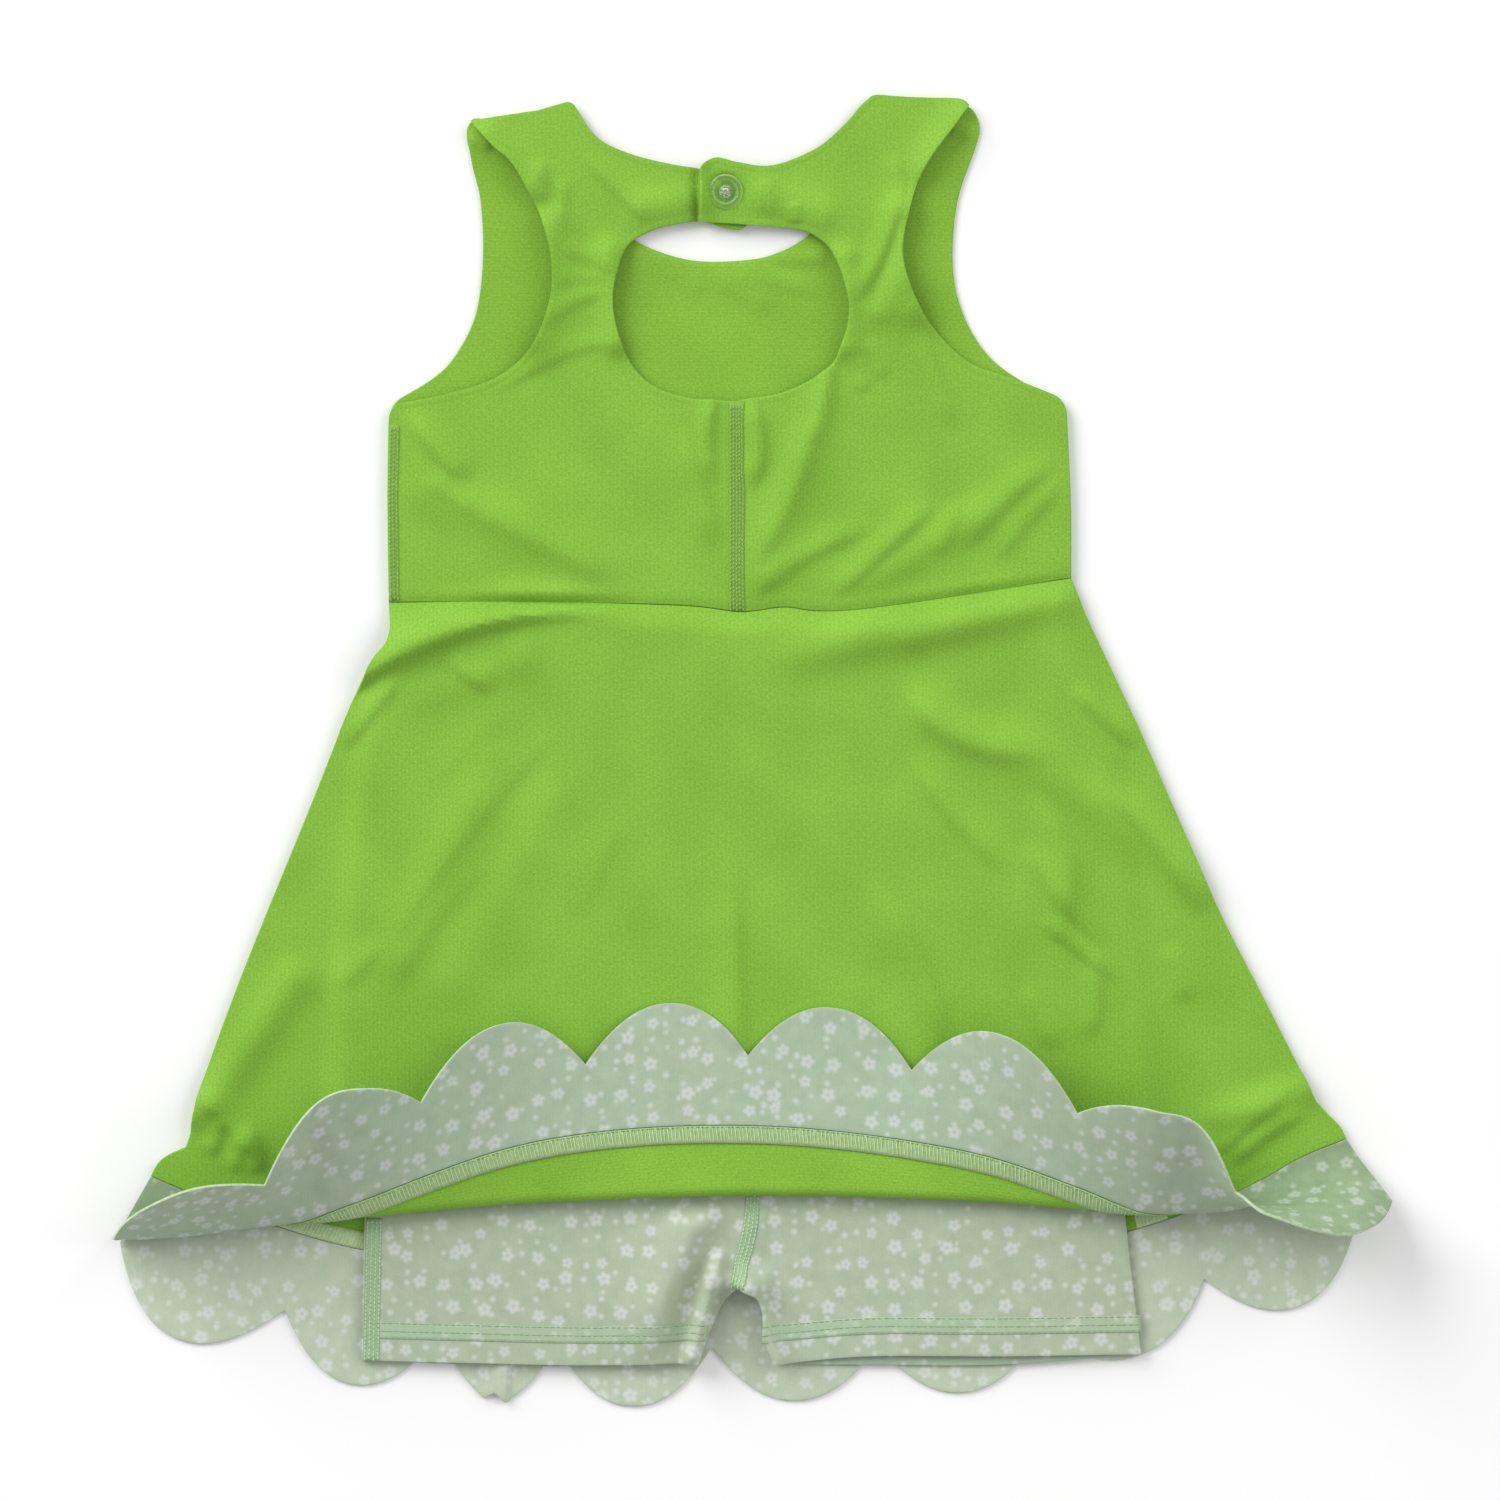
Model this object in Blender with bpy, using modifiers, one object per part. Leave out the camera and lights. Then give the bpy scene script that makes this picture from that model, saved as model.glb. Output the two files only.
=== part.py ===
"""Girl's athletic dress with built-in shorts, laid flat on its front, back side up.

The back's hem is turned up, so the inside of its scalloped band and the shorts show.
Run with: blender --background --python part.py
Lengths in the tables are millimetres. X runs across the dress, to the right as it lies, and Y runs
up it, from the middle of the back waist seam. Z is up from the table. It is 511 mm over the hem's
corners and 524 mm from the highest strap to the lowest scallop.
"""
import math

import bmesh
import bpy
import numpy as np

MM = 0.001

# Driving dimensions
CLOTH = 1.2                  # green jersey and printed band
SHORTS_CLOTH = 1.0           # lighter jersey of the shorts
GAP = 0.3                    # between pieces that touch or are sewn
ROLLED_SEAM_GAP = 0.45       # the band's seam, which the hem's roll closes up to about 0.3 inside
SCALLOP_COLUMNS = 8          # mesh columns in each scallop
SNAP_DIAMETER = 14.0
SNAP_THICKNESS = 2.2
SNAP_PLACE = (-3.8, 165.2)
SNAP_STEPS = 24

# Heights of the layers' undersides
UPPER_Z = CLOTH + GAP                          # back, where it lies straight on the front
SHORTS_FRONT_Z = CLOTH + GAP
SHORTS_BACK_Z = SHORTS_FRONT_Z + SHORTS_CLOTH + GAP
OVER_SHORTS_Z = SHORTS_BACK_Z + SHORTS_CLOTH + GAP
TAB_RISE = CLOTH + GAP                         # right neckband end over the left one
TAB_X, TAB_Y = (24.0, 10.0), (146.0, 149.0)    # where the tab's rise starts and is complete

# The dress's box lies centred on the origin
CENTRE_X = 6.84
CENTRE_Y = -58.195

# Bodice outlines, as x and y, each drawn as one smooth curve
NECK_BACK_LEFT = [(4.8, 174.0), (-14.4, 174.4), (-35.6, 178.4), (-52.8, 184.8), (-60.5, 193.0),
                  (-67.6, 201.2)]
SHOULDER_LEFT = [(-67.6, 201.2), (-86.0, 196.4), (-106.0, 193.6)]
ARMHOLE_BACK_LEFT = [(-106.0, 193.6), (-88.4, 175.2), (-77.2, 154.4), (-73.2, 133.6), (-75.6, 116.4),
                     (-83.2, 100.8), (-96.4, 90.4), (-118.0, 83.6), (-138.4, 80.0)]
SIDE_LEFT = [(-138.4, 80.0), (-138.9, 42.0), (-138.4, 1.0)]
WAIST = [(-138.4, 1.0), (-90.0, 1.2), (-40.0, 0.0), (0.0, -2.4), (40.0, -1.6), (90.0, 3.6), (134.4, 10.8)]
KEYHOLE_LEFT = [(4.8, 151.6), (-2.8, 150.8), (-13.6, 153.4), (-24.0, 152.4), (-34.8, 149.2),
                (-44.8, 141.2), (-48.8, 124.0), (-46.4, 107.2), (-40.4, 94.8), (-31.2, 86.8),
                (-17.2, 82.4), (0.0, 81.4)]

SIDE_RIGHT = [(134.4, 10.8), (134.2, 42.0), (132.4, 82.0)]
ARMHOLE_BACK_RIGHT = [(132.4, 82.0), (114.0, 89.4), (93.2, 97.2), (77.6, 112.8), (69.2, 130.4), (67.6, 147.0),
                      (74.0, 170.8), (88.8, 192.8), (94.8, 199.2)]
SHOULDER_RIGHT = [(94.8, 199.2), (80.0, 202.4), (54.0, 204.0)]
NECK_BACK_RIGHT = [(54.0, 204.0), (45.2, 192.8), (32.4, 182.4), (14.8, 175.6), (1.6, 176.8), (-7.2, 178.8),
                   (-12.8, 176.4), (-14.2, 173.0)]
KEYHOLE_RIGHT = [(0.0, 81.4), (18.8, 84.8), (34.0, 92.0), (42.0, 102.0), (45.5, 117.0), (43.6, 130.4),
                 (40.0, 139.6), (34.8, 145.6), (26.0, 150.0), (4.8, 152.0), (-14.2, 153.2)]

ARMHOLE_FRONT_LEFT = [(-106.8, 193.2), (-106.4, 180.0), (-102.4, 161.6), (-100.8, 138.8), (-103.6, 116.4),
                      (-111.6, 100.0), (-121.0, 90.4), (-138.4, 80.0)]
ARMHOLE_FRONT_RIGHT = [(132.4, 82.0), (117.2, 88.0), (100.0, 99.2), (89.6, 116.4), (86.4, 136.4),
                       (88.8, 161.6), (96.6, 187.0), (94.8, 199.2)]
NECK_FRONT = [(-67.6, 201.2), (-60.0, 176.0), (-50.0, 156.0), (-39.6, 145.6), (-22.8, 138.8), (-7.2, 137.2),
              (11.2, 138.8), (26.0, 145.2), (38.0, 158.0), (47.0, 180.0), (54.0, 204.0)]

# Where each outer corner of a bodice panel is ribbed to on its inner edge, as a share of that edge
KEYHOLE_LEFT_SHARES = (0.0, 0.30, 0.39, 0.68, 0.76, 1.0)
KEYHOLE_RIGHT_SHARES = (0.0, 0.25, 0.33, 0.62, 0.70, 1.0)
NECK_FRONT_SHARES = (0.0, 0.42, 0.46, 0.53, 0.57, 1.0)
RIB_SAG = 8.0                # how far a bodice panel's ribs dip to follow its armholes

# Skirt sides, waist to band seam, and the band seam itself
SKIRT_LEFT = [(-138.4, 1.0), (-138.4, -14.0), (-149.2, -30.0), (-172.0, -86.0), (-198.0, -150.0),
              (-215.6, -198.0), (-220.4, -217.0), (-230.0, -221.6), (-233.6, -228.4)]
SKIRT_RIGHT = [(134.4, 10.8), (141.2, -6.0), (163.6, -54.0), (191.6, -118.0), (224.0, -182.0),
               (233.6, -201.0), (244.4, -213.4)]
BAND_SEAM = [(-233.6, -228.4), (-198.0, -243.0), (-150.0, -257.6), (-72.0, -268.4), (4.0, -267.8),
             (76.0, -263.6), (144.0, -254.0), (198.0, -236.0), (226.0, -221.0), (244.4, -213.4)]

# Scallops from the left corner: the notch that ends each, how far it bulges, how round it is
SCALLOP = np.dtype([("x", float), ("y", float), ("bulge", float), ("roundness", float)])
FRONT_CORNER = (-246.0, -254.8)
FRONT_SCALLOPS = np.array([
    (-180.0, -282.0, 27.0, 2.1),
    (-118.0, -293.0, 24.5, 2.1),
    (-71.6, -295.2, 25.0, 1.05),      # the creased one, drawn together to a point
    (-9.2, -296.8, 24.4, 2.2),
    (57.2, -296.0, 21.8, 2.1),
    (122.0, -292.0, 21.0, 2.1),
    (187.6, -269.6, 20.5, 2.1),
    (248.0, -249.2, 22.5, 2.1),
    (262.0, -240.4, 2.0, 2.0),        # first part of the next one, round the side
], dtype=SCALLOP)
BACK_CORNER = (-248.8, -255.2)
BACK_SCALLOPS = np.array([
    (-186.8, -280.0, 26.0, 2.1),
    (-124.8, -293.6, 24.0, 2.1),
    (-59.6, -296.6, 22.0, 2.1),
    (5.2, -295.8, 22.0, 2.1),
    (70.4, -292.6, 21.5, 2.1),
    (136.0, -287.0, 21.5, 2.1),
    (198.4, -267.0, 22.0, 2.1),
    (262.0, -240.4, 21.0, 2.1),
], dtype=SCALLOP)

# How the back's hem turns up, a row for each place across it: where the turn starts,
# how far round the cloth goes, and the radius of its roll
TURN = np.dtype([("x", float), ("start_y", float), ("degrees", float), ("radius", float)])
HEM_TURN = np.array([
    (-249.0, -249.0, 112.0, 5.0),
    (-235.0, -248.0, 115.0, 5.5),
    (-215.0, -246.0, 122.0, 6.0),
    (-187.0, -242.4, 130.0, 6.0),
    (-165.0, -240.5, 147.0, 5.5),
    (-146.0, -239.4, 151.0, 5.0),
    (-125.0, -237.8, 162.0, 4.6),
    (-92.0, -235.6, 174.0, 4.0),
    (-60.0, -234.4, 180.0, 3.6),
    (5.0, -232.5, 183.0, 3.4),
    (70.0, -233.8, 182.0, 3.4),
    (100.0, -234.8, 173.0, 3.6),
    (136.0, -236.7, 160.0, 4.5),
    (167.0, -237.9, 146.0, 5.5),
    (190.0, -236.8, 138.0, 6.0),
    (199.0, -235.5, 112.0, 6.5),
    (206.0, -230.0, 90.0, 10.0),
    (217.0, -226.0, 80.0, 14.0),
    (238.0, -218.0, 63.0, 20.0),
    (256.0, -217.0, 52.0, 25.0),
    (262.0, -222.0, 45.0, 25.0),
], dtype=TURN)

FOLDED_OVER = 120.0          # past this turn the hem can come to rest on the skirt under it

# Shorts: outer side, centre seam and inseam of each leg, waist down, and the hems, side to inseam
LEG_LEFT_OUTER = [(-122.0, -16.0), (-134.0, -60.0), (-143.0, -150.0), (-148.0, -245.0), (-149.2, -302.0)]
LEG_RIGHT_OUTER = [(118.0, -9.0), (136.0, -60.0), (150.0, -170.0), (156.0, -243.6), (162.4, -299.6)]
SHORTS_CENTRE = [(0.0, -16.4), (4.0, -120.0), (7.2, -237.0), (1.4, -272.8)]
INSEAM_LEFT = [(1.4, -272.8), (-7.0, -284.0), (-15.2, -303.0)]
INSEAM_RIGHT = [(1.4, -272.8), (10.8, -285.2), (16.0, -303.6)]
LEG_LEFT_HEM = [(-149.2, -302.0), (-110.0, -303.0), (-60.0, -304.0), (-15.2, -303.0)]
LEG_RIGHT_HEM = [(162.4, -299.6), (106.0, -300.4), (54.0, -300.4), (16.0, -303.6)]
LEDGE = 10.0                 # how far past the shorts the back stays at their height
SLOPE = 12.0                 # width over which it then comes down to the front
WAIST_SLOPE = 9.0            # the same above them, below the waist seam
FRONT_HEM_DROP = 3.4         # the front leg's hem shows below the back's, midway
CROTCH_SHARE = 0.12          # share of a leg's length that is below the crotch
LEG_SHOWS_BELOW, LEG_SHOWS_OVER = -246.0, 20.0  # the legs come out below the skirt's turn, and loosen
LEG_SLACK, LEG_WAVE = 0.9, 326.0               # height and length of their slack wave

# Soft ridges of the back layer: a line from one end to the other, its half width and its height
RIDGE = np.dtype([(name, float) for name in ("x0", "y0", "x1", "y1", "half", "rise")])
BACK_RIDGES = np.array([
    (-140.0, -20.0, -84.0, 2.0, 7.0, 2.6),      # over the deep fold from the left waist
    (-144.0, -40.0, -92.0, -18.0, 8.0, 2.4),    # under it
    (72.0, -12.0, 130.0, 4.0, 7.0, 2.2),        # beside the fold from the right waist
    (78.0, -46.0, 134.0, -72.0, 9.0, 2.0),
    (-98.0, -62.0, -132.0, -140.0, 9.0, 2.6),   # long slanting fold, left
    (-72.0, -78.0, -112.0, -150.0, 10.0, 2.0),
    (146.0, -80.0, 186.0, -112.0, 9.0, 2.0),
    (-176.0, -150.0, -214.0, -204.0, 8.0, 3.0), # by the left corner
    (196.0, -206.0, 236.0, -190.0, 7.0, 3.0),   # by the right corner
    (30.0, 66.0, 14.0, 12.0, 7.0, 1.6),         # bodice, below the keyhole
    (58.0, 118.0, 74.0, 142.0, 6.0, 2.6),       # beside the keyhole
    (-124.0, 44.0, -60.0, 14.0, 9.0, 1.6),
    (96.0, 36.0, 50.0, 6.0, 7.0, 1.8),
    (-84.0, 104.0, -77.0, 150.0, 9.0, 3.0),     # armhole edges stand off the front
    (-90.0, 170.0, -104.0, 188.0, 8.0, 2.6),
    (72.0, 120.0, 72.0, 160.0, 9.0, 3.0),
    (80.0, 176.0, 92.0, 194.0, 8.0, 3.0),
    (-50.0, 140.0, -47.0, 106.0, 7.0, 1.6),     # keyhole edges
    (44.0, 138.0, 45.0, 104.0, 7.0, 1.8),
], dtype=RIDGE)
FOLD_FADE = 16.0             # the folds die out over this width at the waist and at the hem's turn
LEG_RIDGES = np.array([
    (-6.0, -262.0, -15.0, -300.0, 4.0, 3.0),    # the left leg's inseam stands up
    (7.0, -246.0, 3.0, -268.0, 6.0, 1.4),
], dtype=RIDGE)


def smooth_curve(points):
    """A function of 0 to 1 that runs through the points at an even pace, as a Catmull-Rom spline."""
    knots = np.array(points, dtype=float)
    padded = np.vstack([2 * knots[0] - knots[1], knots, 2 * knots[-1] - knots[-2]])
    fine = []
    for before, start, end, after in zip(padded, padded[1:], padded[2:], padded[3:]):
        t = np.linspace(0.0, 1.0, 24, endpoint=False)[:, None]
        fine.append(0.5 * (2 * start + (end - before) * t
                           + (2 * before - 5 * start + 4 * end - after) * t**2
                           + (3 * start - before - 3 * end + after) * t**3))
    fine = np.vstack(fine + [knots[-1:]])
    pace = np.concatenate([[0.0], np.cumsum(np.linalg.norm(np.diff(fine, axis=0), axis=1))])
    pace /= pace[-1]

    def at(share):
        return np.stack([np.interp(share, pace, fine[:, axis]) for axis in (0, 1)], axis=-1)
    return at


def smooth_step(value):
    """0 below 0, 1 above 1, and a soft change between."""
    value = np.clip(value, 0.0, 1.0)
    return value * value * (3.0 - 2.0 * value)


def along(column, x):
    """A column of the hem's table, read softly at any x."""
    knots, values = HEM_TURN["x"], HEM_TURN[column]
    slopes = np.gradient(values, knots)
    x = np.clip(x, knots[0], knots[-1])
    i = np.clip(np.searchsorted(knots, x) - 1, 0, len(knots) - 2)
    width = knots[i + 1] - knots[i]
    t = (x - knots[i]) / width
    return ((1 + 2 * t) * (1 - t)**2 * values[i] + t * (1 - t)**2 * width * slopes[i]
            + t**2 * (3 - 2 * t) * values[i + 1] + t**2 * (t - 1) * width * slopes[i + 1])


def ridges(table, x, y):
    """Height that a table's ridges add: a bell across each line, fading past its ends."""
    height = np.zeros_like(x)
    for row in table:
        dx, dy = row["x1"] - row["x0"], row["y1"] - row["y0"]
        length = math.hypot(dx, dy)
        run = ((x - row["x0"]) * dx + (y - row["y0"]) * dy) / length
        across = ((x - row["x0"]) * dy - (y - row["y0"]) * dx) / length
        past = np.maximum(np.maximum(-run, run - length), 0.0)
        height += row["rise"] * np.exp(-(across**2 + past**2) / row["half"]**2)
    return height


def from_waist(x, y):
    """How far a point is above the waist seam, or below it if negative."""
    waist = np.array(WAIST)
    return y - np.interp(x, waist[:, 0], waist[:, 1])


def over_shorts(x, y):
    """Underside of the back layer: up over the shorts, and down to the front beside and above them."""
    left, right = np.array(LEG_LEFT_OUTER), np.array(LEG_RIGHT_OUTER)
    from_left = x - np.interp(-y, -left[:, 1], left[:, 0])
    from_right = np.interp(-y, -right[:, 1], right[:, 0]) - x
    inside = smooth_step((from_left + LEDGE) / SLOPE + 1.0) * smooth_step((from_right + LEDGE) / SLOPE + 1.0)
    below_waist = smooth_step((-from_waist(x, y) - 1.0) / WAIST_SLOPE)
    return UPPER_Z + (OVER_SHORTS_Z - UPPER_Z) * inside * below_waist


def back_height(x, y):
    """Underside of the back layer, with its soft folds, which die out at the waist and the hem's turn."""
    clear_of_waist = smooth_step(np.abs(from_waist(x, y)) / FOLD_FADE)
    clear_of_hem = smooth_step((y - HEM_TURN["start_y"].max() - 1.0) / FOLD_FADE)
    return over_shorts(x, y) + ridges(BACK_RIDGES, x, y) * clear_of_waist * clear_of_hem


def turned_back(x, y):
    """The back layer in space: flat as far as the hem's turn, then round its roll and on.

    Past the turn's start the cloth bends up with the roll's radius until it has turned by its angle,
    and goes on straight. Where it would sink into the skirt that it folds over, it rests on it.
    """
    start = along("start_y", x)
    angle = np.radians(along("degrees", x))
    radius = along("radius", x)
    past = np.maximum(start - y, 0.0)
    bent = np.minimum(past / radius, angle)
    straight = np.maximum(past - radius * angle, 0.0)
    flat_y = np.maximum(y, start)
    plan_y = flat_y - radius * np.sin(bent) - straight * np.cos(angle)
    base = back_height(x, flat_y)
    z = base + radius * (1.0 - np.cos(bent)) + straight * np.sin(angle)
    resting = back_height(x, plan_y) + 2 * CLOTH + 2 * GAP
    folded_over = bent > math.radians(FOLDED_OVER)
    z = np.where(folded_over, np.maximum(z, resting), z)
    return x, plan_y, z


def shares(corner_shares, counts):
    """Shares of an inner edge for each column, stepping evenly between the corners' shares."""
    spans = zip(corner_shares, corner_shares[1:], counts)
    steps = [np.linspace(start, end, count, endpoint=False) for start, end, count in spans]
    return np.concatenate(steps + [[corner_shares[-1]]])


def chain(stretches, counts):
    """Points along several stretches end to end, each cut into its count of columns.

    A stretch is a list of points, or a smooth curve with the shares where it starts and ends.
    """
    runs = []
    for stretch, count in zip(stretches, counts):
        curve, start, end = stretch if isinstance(stretch, tuple) else (smooth_curve(stretch), 0.0, 1.0)
        runs.append(curve(np.linspace(start, end, count + 1)))
    return np.vstack([run[:-1] for run in runs[:-1]] + [runs[-1]])


def hem_points(corner, scallops):
    """The scalloped edge: on each chord between notches, a bulge of 1 - |2t - 1| ^ roundness."""
    edge = [np.array([corner])]
    start = np.array(corner)
    for row in scallops:
        end = np.array([row["x"], row["y"]])
        t = np.linspace(0, 1, SCALLOP_COLUMNS + 1)[1:, None]
        chord = end - start
        outward = np.array([chord[1], -chord[0]]) / np.hypot(*chord)
        bulge = row["bulge"] * (1 - np.abs(2 * t - 1)**row["roundness"])
        edge.append(start + chord * t + outward * bulge)
        start = end
    return np.vstack(edge)


def ruled(outer, inner, dips=()):
    """Flat panel between two edges with as many points each: v is 0 on the outer, 1 on the inner.

    The ribs between them are straight, but for dips: around each share of the columns given, they
    sag down the dress, which keeps them inside a hollow armhole.
    """
    def flat(u, v):
        column = np.linspace(0, 1, len(outer))
        first, second = (np.stack([np.interp(u, column, e[:, k]) for k in (0, 1)]) for e in (outer, inner))
        x, y = first + (second - first) * v
        sag = sum(RIB_SAG * np.exp(-((u - dip) / 0.1)**2) for dip in dips)
        return x, y - sag * 4 * v * (1 - v)
    return flat


def four_sided(bottom, top, left, right):
    """Flat panel inside four curves, blended as a Coons patch."""
    def flat(u, v):
        low, high, near, far = bottom(u).T, top(u).T, left(v).T, right(v).T
        corners = [curve(np.array([end]))[0][:, None] for curve in (bottom, top) for end in (0.0, 1.0)]
        blend = ((1 - u) * (1 - v) * corners[0] + u * (1 - v) * corners[1]
                 + (1 - u) * v * corners[2] + u * v * corners[3])
        return (1 - v) * low + v * high + (1 - u) * near + u * far - blend
    return flat


def moved(points, dx=0.0, dy=0.0):
    """The same points, shifted."""
    return [(x + dx, y + dy) for x, y in points]


def material(name, hex_colour, roughness, alpha=1.0):
    """Principled material in an sRGB colour."""
    finish = bpy.data.materials.new(name)
    finish.use_nodes = True
    shader = finish.node_tree.nodes["Principled BSDF"]
    channels = [int(hex_colour[i:i + 2], 16) / 255 for i in (0, 2, 4)]
    linear = [c / 12.92 if c <= 0.04045 else ((c + 0.055) / 1.055)**2.4 for c in channels]
    shader.inputs["Base Color"].default_value = (*linear, 1.0)
    shader.inputs["Roughness"].default_value = roughness
    shader.inputs["Metallic"].default_value = 0.0
    shader.inputs["Alpha"].default_value = alpha
    return finish


def add_object(name, mesh, finish):
    """Link a mesh under the dress's empty, which centres it on the origin."""
    mesh.materials.append(finish)
    piece = bpy.data.objects.new(name, mesh)
    dress.objects.link(piece)
    piece.parent = middle
    return piece


def panel(name, columns, rows, flat, lay, finish, wall):
    """A cut piece: a grid placed by its flat shape, then laid in space and given its wall.

    flat(u, v) gives x and y on the cutting table, lay(x, y) gives the underside in space,
    and columns and rows are counts, or the lists of their u and v values.
    """
    column_places = np.linspace(0, 1, columns + 1) if np.isscalar(columns) else np.array(columns)
    row_places = np.linspace(0, 1, rows + 1) if np.isscalar(rows) else np.array(rows)
    across, along_it = len(column_places) - 1, len(row_places) - 1
    grid = bmesh.new()
    bmesh.ops.create_grid(grid, x_segments=across, y_segments=along_it, size=0.5)
    u = column_places[[round((vertex.co.x + 0.5) * across) for vertex in grid.verts]]
    v = row_places[[round((vertex.co.y + 0.5) * along_it) for vertex in grid.verts]]
    x, y = flat(u, v)
    for vertex, place in zip(grid.verts, zip(*lay(x, y))):
        vertex.co = [MM * value for value in place]
    mesh = bpy.data.meshes.new(name)
    grid.to_mesh(mesh)
    grid.free()
    mesh.shade_smooth()
    piece = add_object(name, mesh, finish)
    solidify = piece.modifiers.new("wall", "SOLIDIFY")
    solidify.thickness = wall * MM
    solidify.offset = 1.0
    return piece


def lie_on_table(x, y):
    """The front layer rests flat."""
    return x, y, np.zeros_like(x)


def lie_on_front(x, y):
    """The bodice back over the bodice front."""
    return x, y, back_height(x, y)


def lap_over(x, y):
    """The right back, whose neckband end laps over the left one."""
    lapped = smooth_step((x - TAB_X[0]) / (TAB_X[1] - TAB_X[0]))
    lapped = lapped * smooth_step((y - TAB_Y[0]) / (TAB_Y[1] - TAB_Y[0]))
    return x, y, lie_on_front(x, y)[2] + TAB_RISE * lapped


def lie_in_front_leg(x, y):
    """Front half of a leg, on the skirt front."""
    return x, y, np.full_like(x, SHORTS_FRONT_Z)


def lie_in_back_leg(x, y):
    """Back half of a leg, slack where it comes out below the skirt's turn."""
    shows = smooth_step((LEG_SHOWS_BELOW - y) / LEG_SHOWS_OVER)
    slack = LEG_SLACK * shows * np.abs(np.sin(2 * math.pi * x / LEG_WAVE))
    return x, y, SHORTS_BACK_Z + slack + ridges(LEG_RIDGES, x, y) * shows


def bodice(green):
    """Front panel, and the two backs round the keyhole."""
    waist = smooth_curve(moved(WAIST, dy=GAP / 2))
    centre = share_at(waist, x=0.0)
    counts = (6, 4, 12, 5, 9)
    stretches = [NECK_BACK_LEFT, SHOULDER_LEFT, ARMHOLE_BACK_LEFT, SIDE_LEFT, (waist, 0.0, centre)]
    outer = chain(stretches, counts)
    inner = smooth_curve(KEYHOLE_LEFT)(shares(KEYHOLE_LEFT_SHARES, counts))
    part_at_centre(outer, inner, side=-1)
    panel("bodice_back_left", len(outer) - 1, 8, ruled(outer, inner, dips=[0.6]), lie_on_front, green, CLOTH)

    counts = (9, 5, 12, 4, 9)
    stretches = [(waist, centre, 1.0), SIDE_RIGHT, ARMHOLE_BACK_RIGHT, SHOULDER_RIGHT, NECK_BACK_RIGHT]
    outer = chain(stretches, counts)
    inner = smooth_curve(KEYHOLE_RIGHT)(shares(KEYHOLE_RIGHT_SHARES, counts))
    part_at_centre(outer, inner, side=1)
    panel("bodice_back_right", len(outer) - 1, 8, ruled(outer, inner, dips=[0.36]), lap_over, green, CLOTH)

    counts = (10, 4, 14, 4, 10)
    stretches = [ARMHOLE_FRONT_LEFT, SIDE_LEFT, (waist, 0.0, 1.0), SIDE_RIGHT, ARMHOLE_FRONT_RIGHT]
    outer = chain(stretches, counts)
    inner = smooth_curve(NECK_FRONT)(shares(NECK_FRONT_SHARES, counts))
    flat = ruled(outer, inner, dips=[0.22, 0.78])
    panel("bodice_front", len(outer) - 1, 6, flat, lie_on_table, green, CLOTH)


def share_at(curve, x):
    """Share of a curve that runs to the right, where it reaches an x."""
    steps = np.linspace(0.0, 1.0, 400)
    return np.interp(x, curve(steps)[:, 0], steps)


def part_at_centre(outer, inner, side):
    """Hold a back clear of the other back at the centre seam."""
    for edge in (outer, inner):
        on_seam = (np.abs(edge[:, 0]) < GAP) & (edge[:, 1] < 100.0)
        edge[on_seam, 0] = side * GAP / 2


def skirts(green):
    """The two flared panels."""
    waist = smooth_curve(moved(WAIST, dy=-GAP / 2))
    seam = smooth_curve(moved(BAND_SEAM, dy=ROLLED_SEAM_GAP / 2))
    left = smooth_curve([seam(0.0), *SKIRT_LEFT[-2:0:-1], waist(0.0)])
    right = smooth_curve([seam(1.0), *SKIRT_RIGHT[-2:0:-1], waist(1.0)])
    flat = four_sided(seam, waist, left, right)
    panel("skirt_front", 24, 6, flat, lie_on_table, green, CLOTH)
    across = seam_shares(hem_points(BACK_CORNER, BACK_SCALLOPS))
    rows = np.concatenate([[0.0, 0.0024], np.linspace(0.012, 0.15, 11), np.linspace(0.3, 0.9, 5)])
    near_waist = [0.963, 0.992, 1.0]
    panel("skirt_back", across, [*rows, *near_waist], flat, turned_back, green, CLOTH)


def seam_shares(edge):
    """Where each point of a scalloped edge is sewn to the skirt, as a share of the seam."""
    start, end = edge[0, 0], edge[-1, 0]
    return (edge[:, 0] - start) / (end - start)


def hem_bands(print_cloth):
    """The two scalloped bands below the skirts."""
    seam = smooth_curve(moved(BAND_SEAM, dy=-ROLLED_SEAM_GAP / 2))
    edge = hem_points(FRONT_CORNER, FRONT_SCALLOPS)
    flat = ruled(edge, seam(seam_shares(edge)))
    panel("hem_band_front", len(edge) - 1, 3, flat, lie_on_table, print_cloth, CLOTH)
    edge = hem_points(BACK_CORNER, BACK_SCALLOPS)
    flat = ruled(edge, seam(seam_shares(edge)))
    rows = [0.0, 0.25, 0.5, 0.7, 0.86, 0.94, 0.985, 1.0]
    panel("hem_band_back", len(edge) - 1, rows, flat, turned_back, print_cloth, CLOTH)


def joined(low, high, split):
    """One edge from two curves: low up to the split share, high past it."""
    def at(share):
        share = np.atleast_1d(share)
        return np.where((share < split)[:, None], low(share / split), high((share - split) / (1 - split)))
    return at


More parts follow.
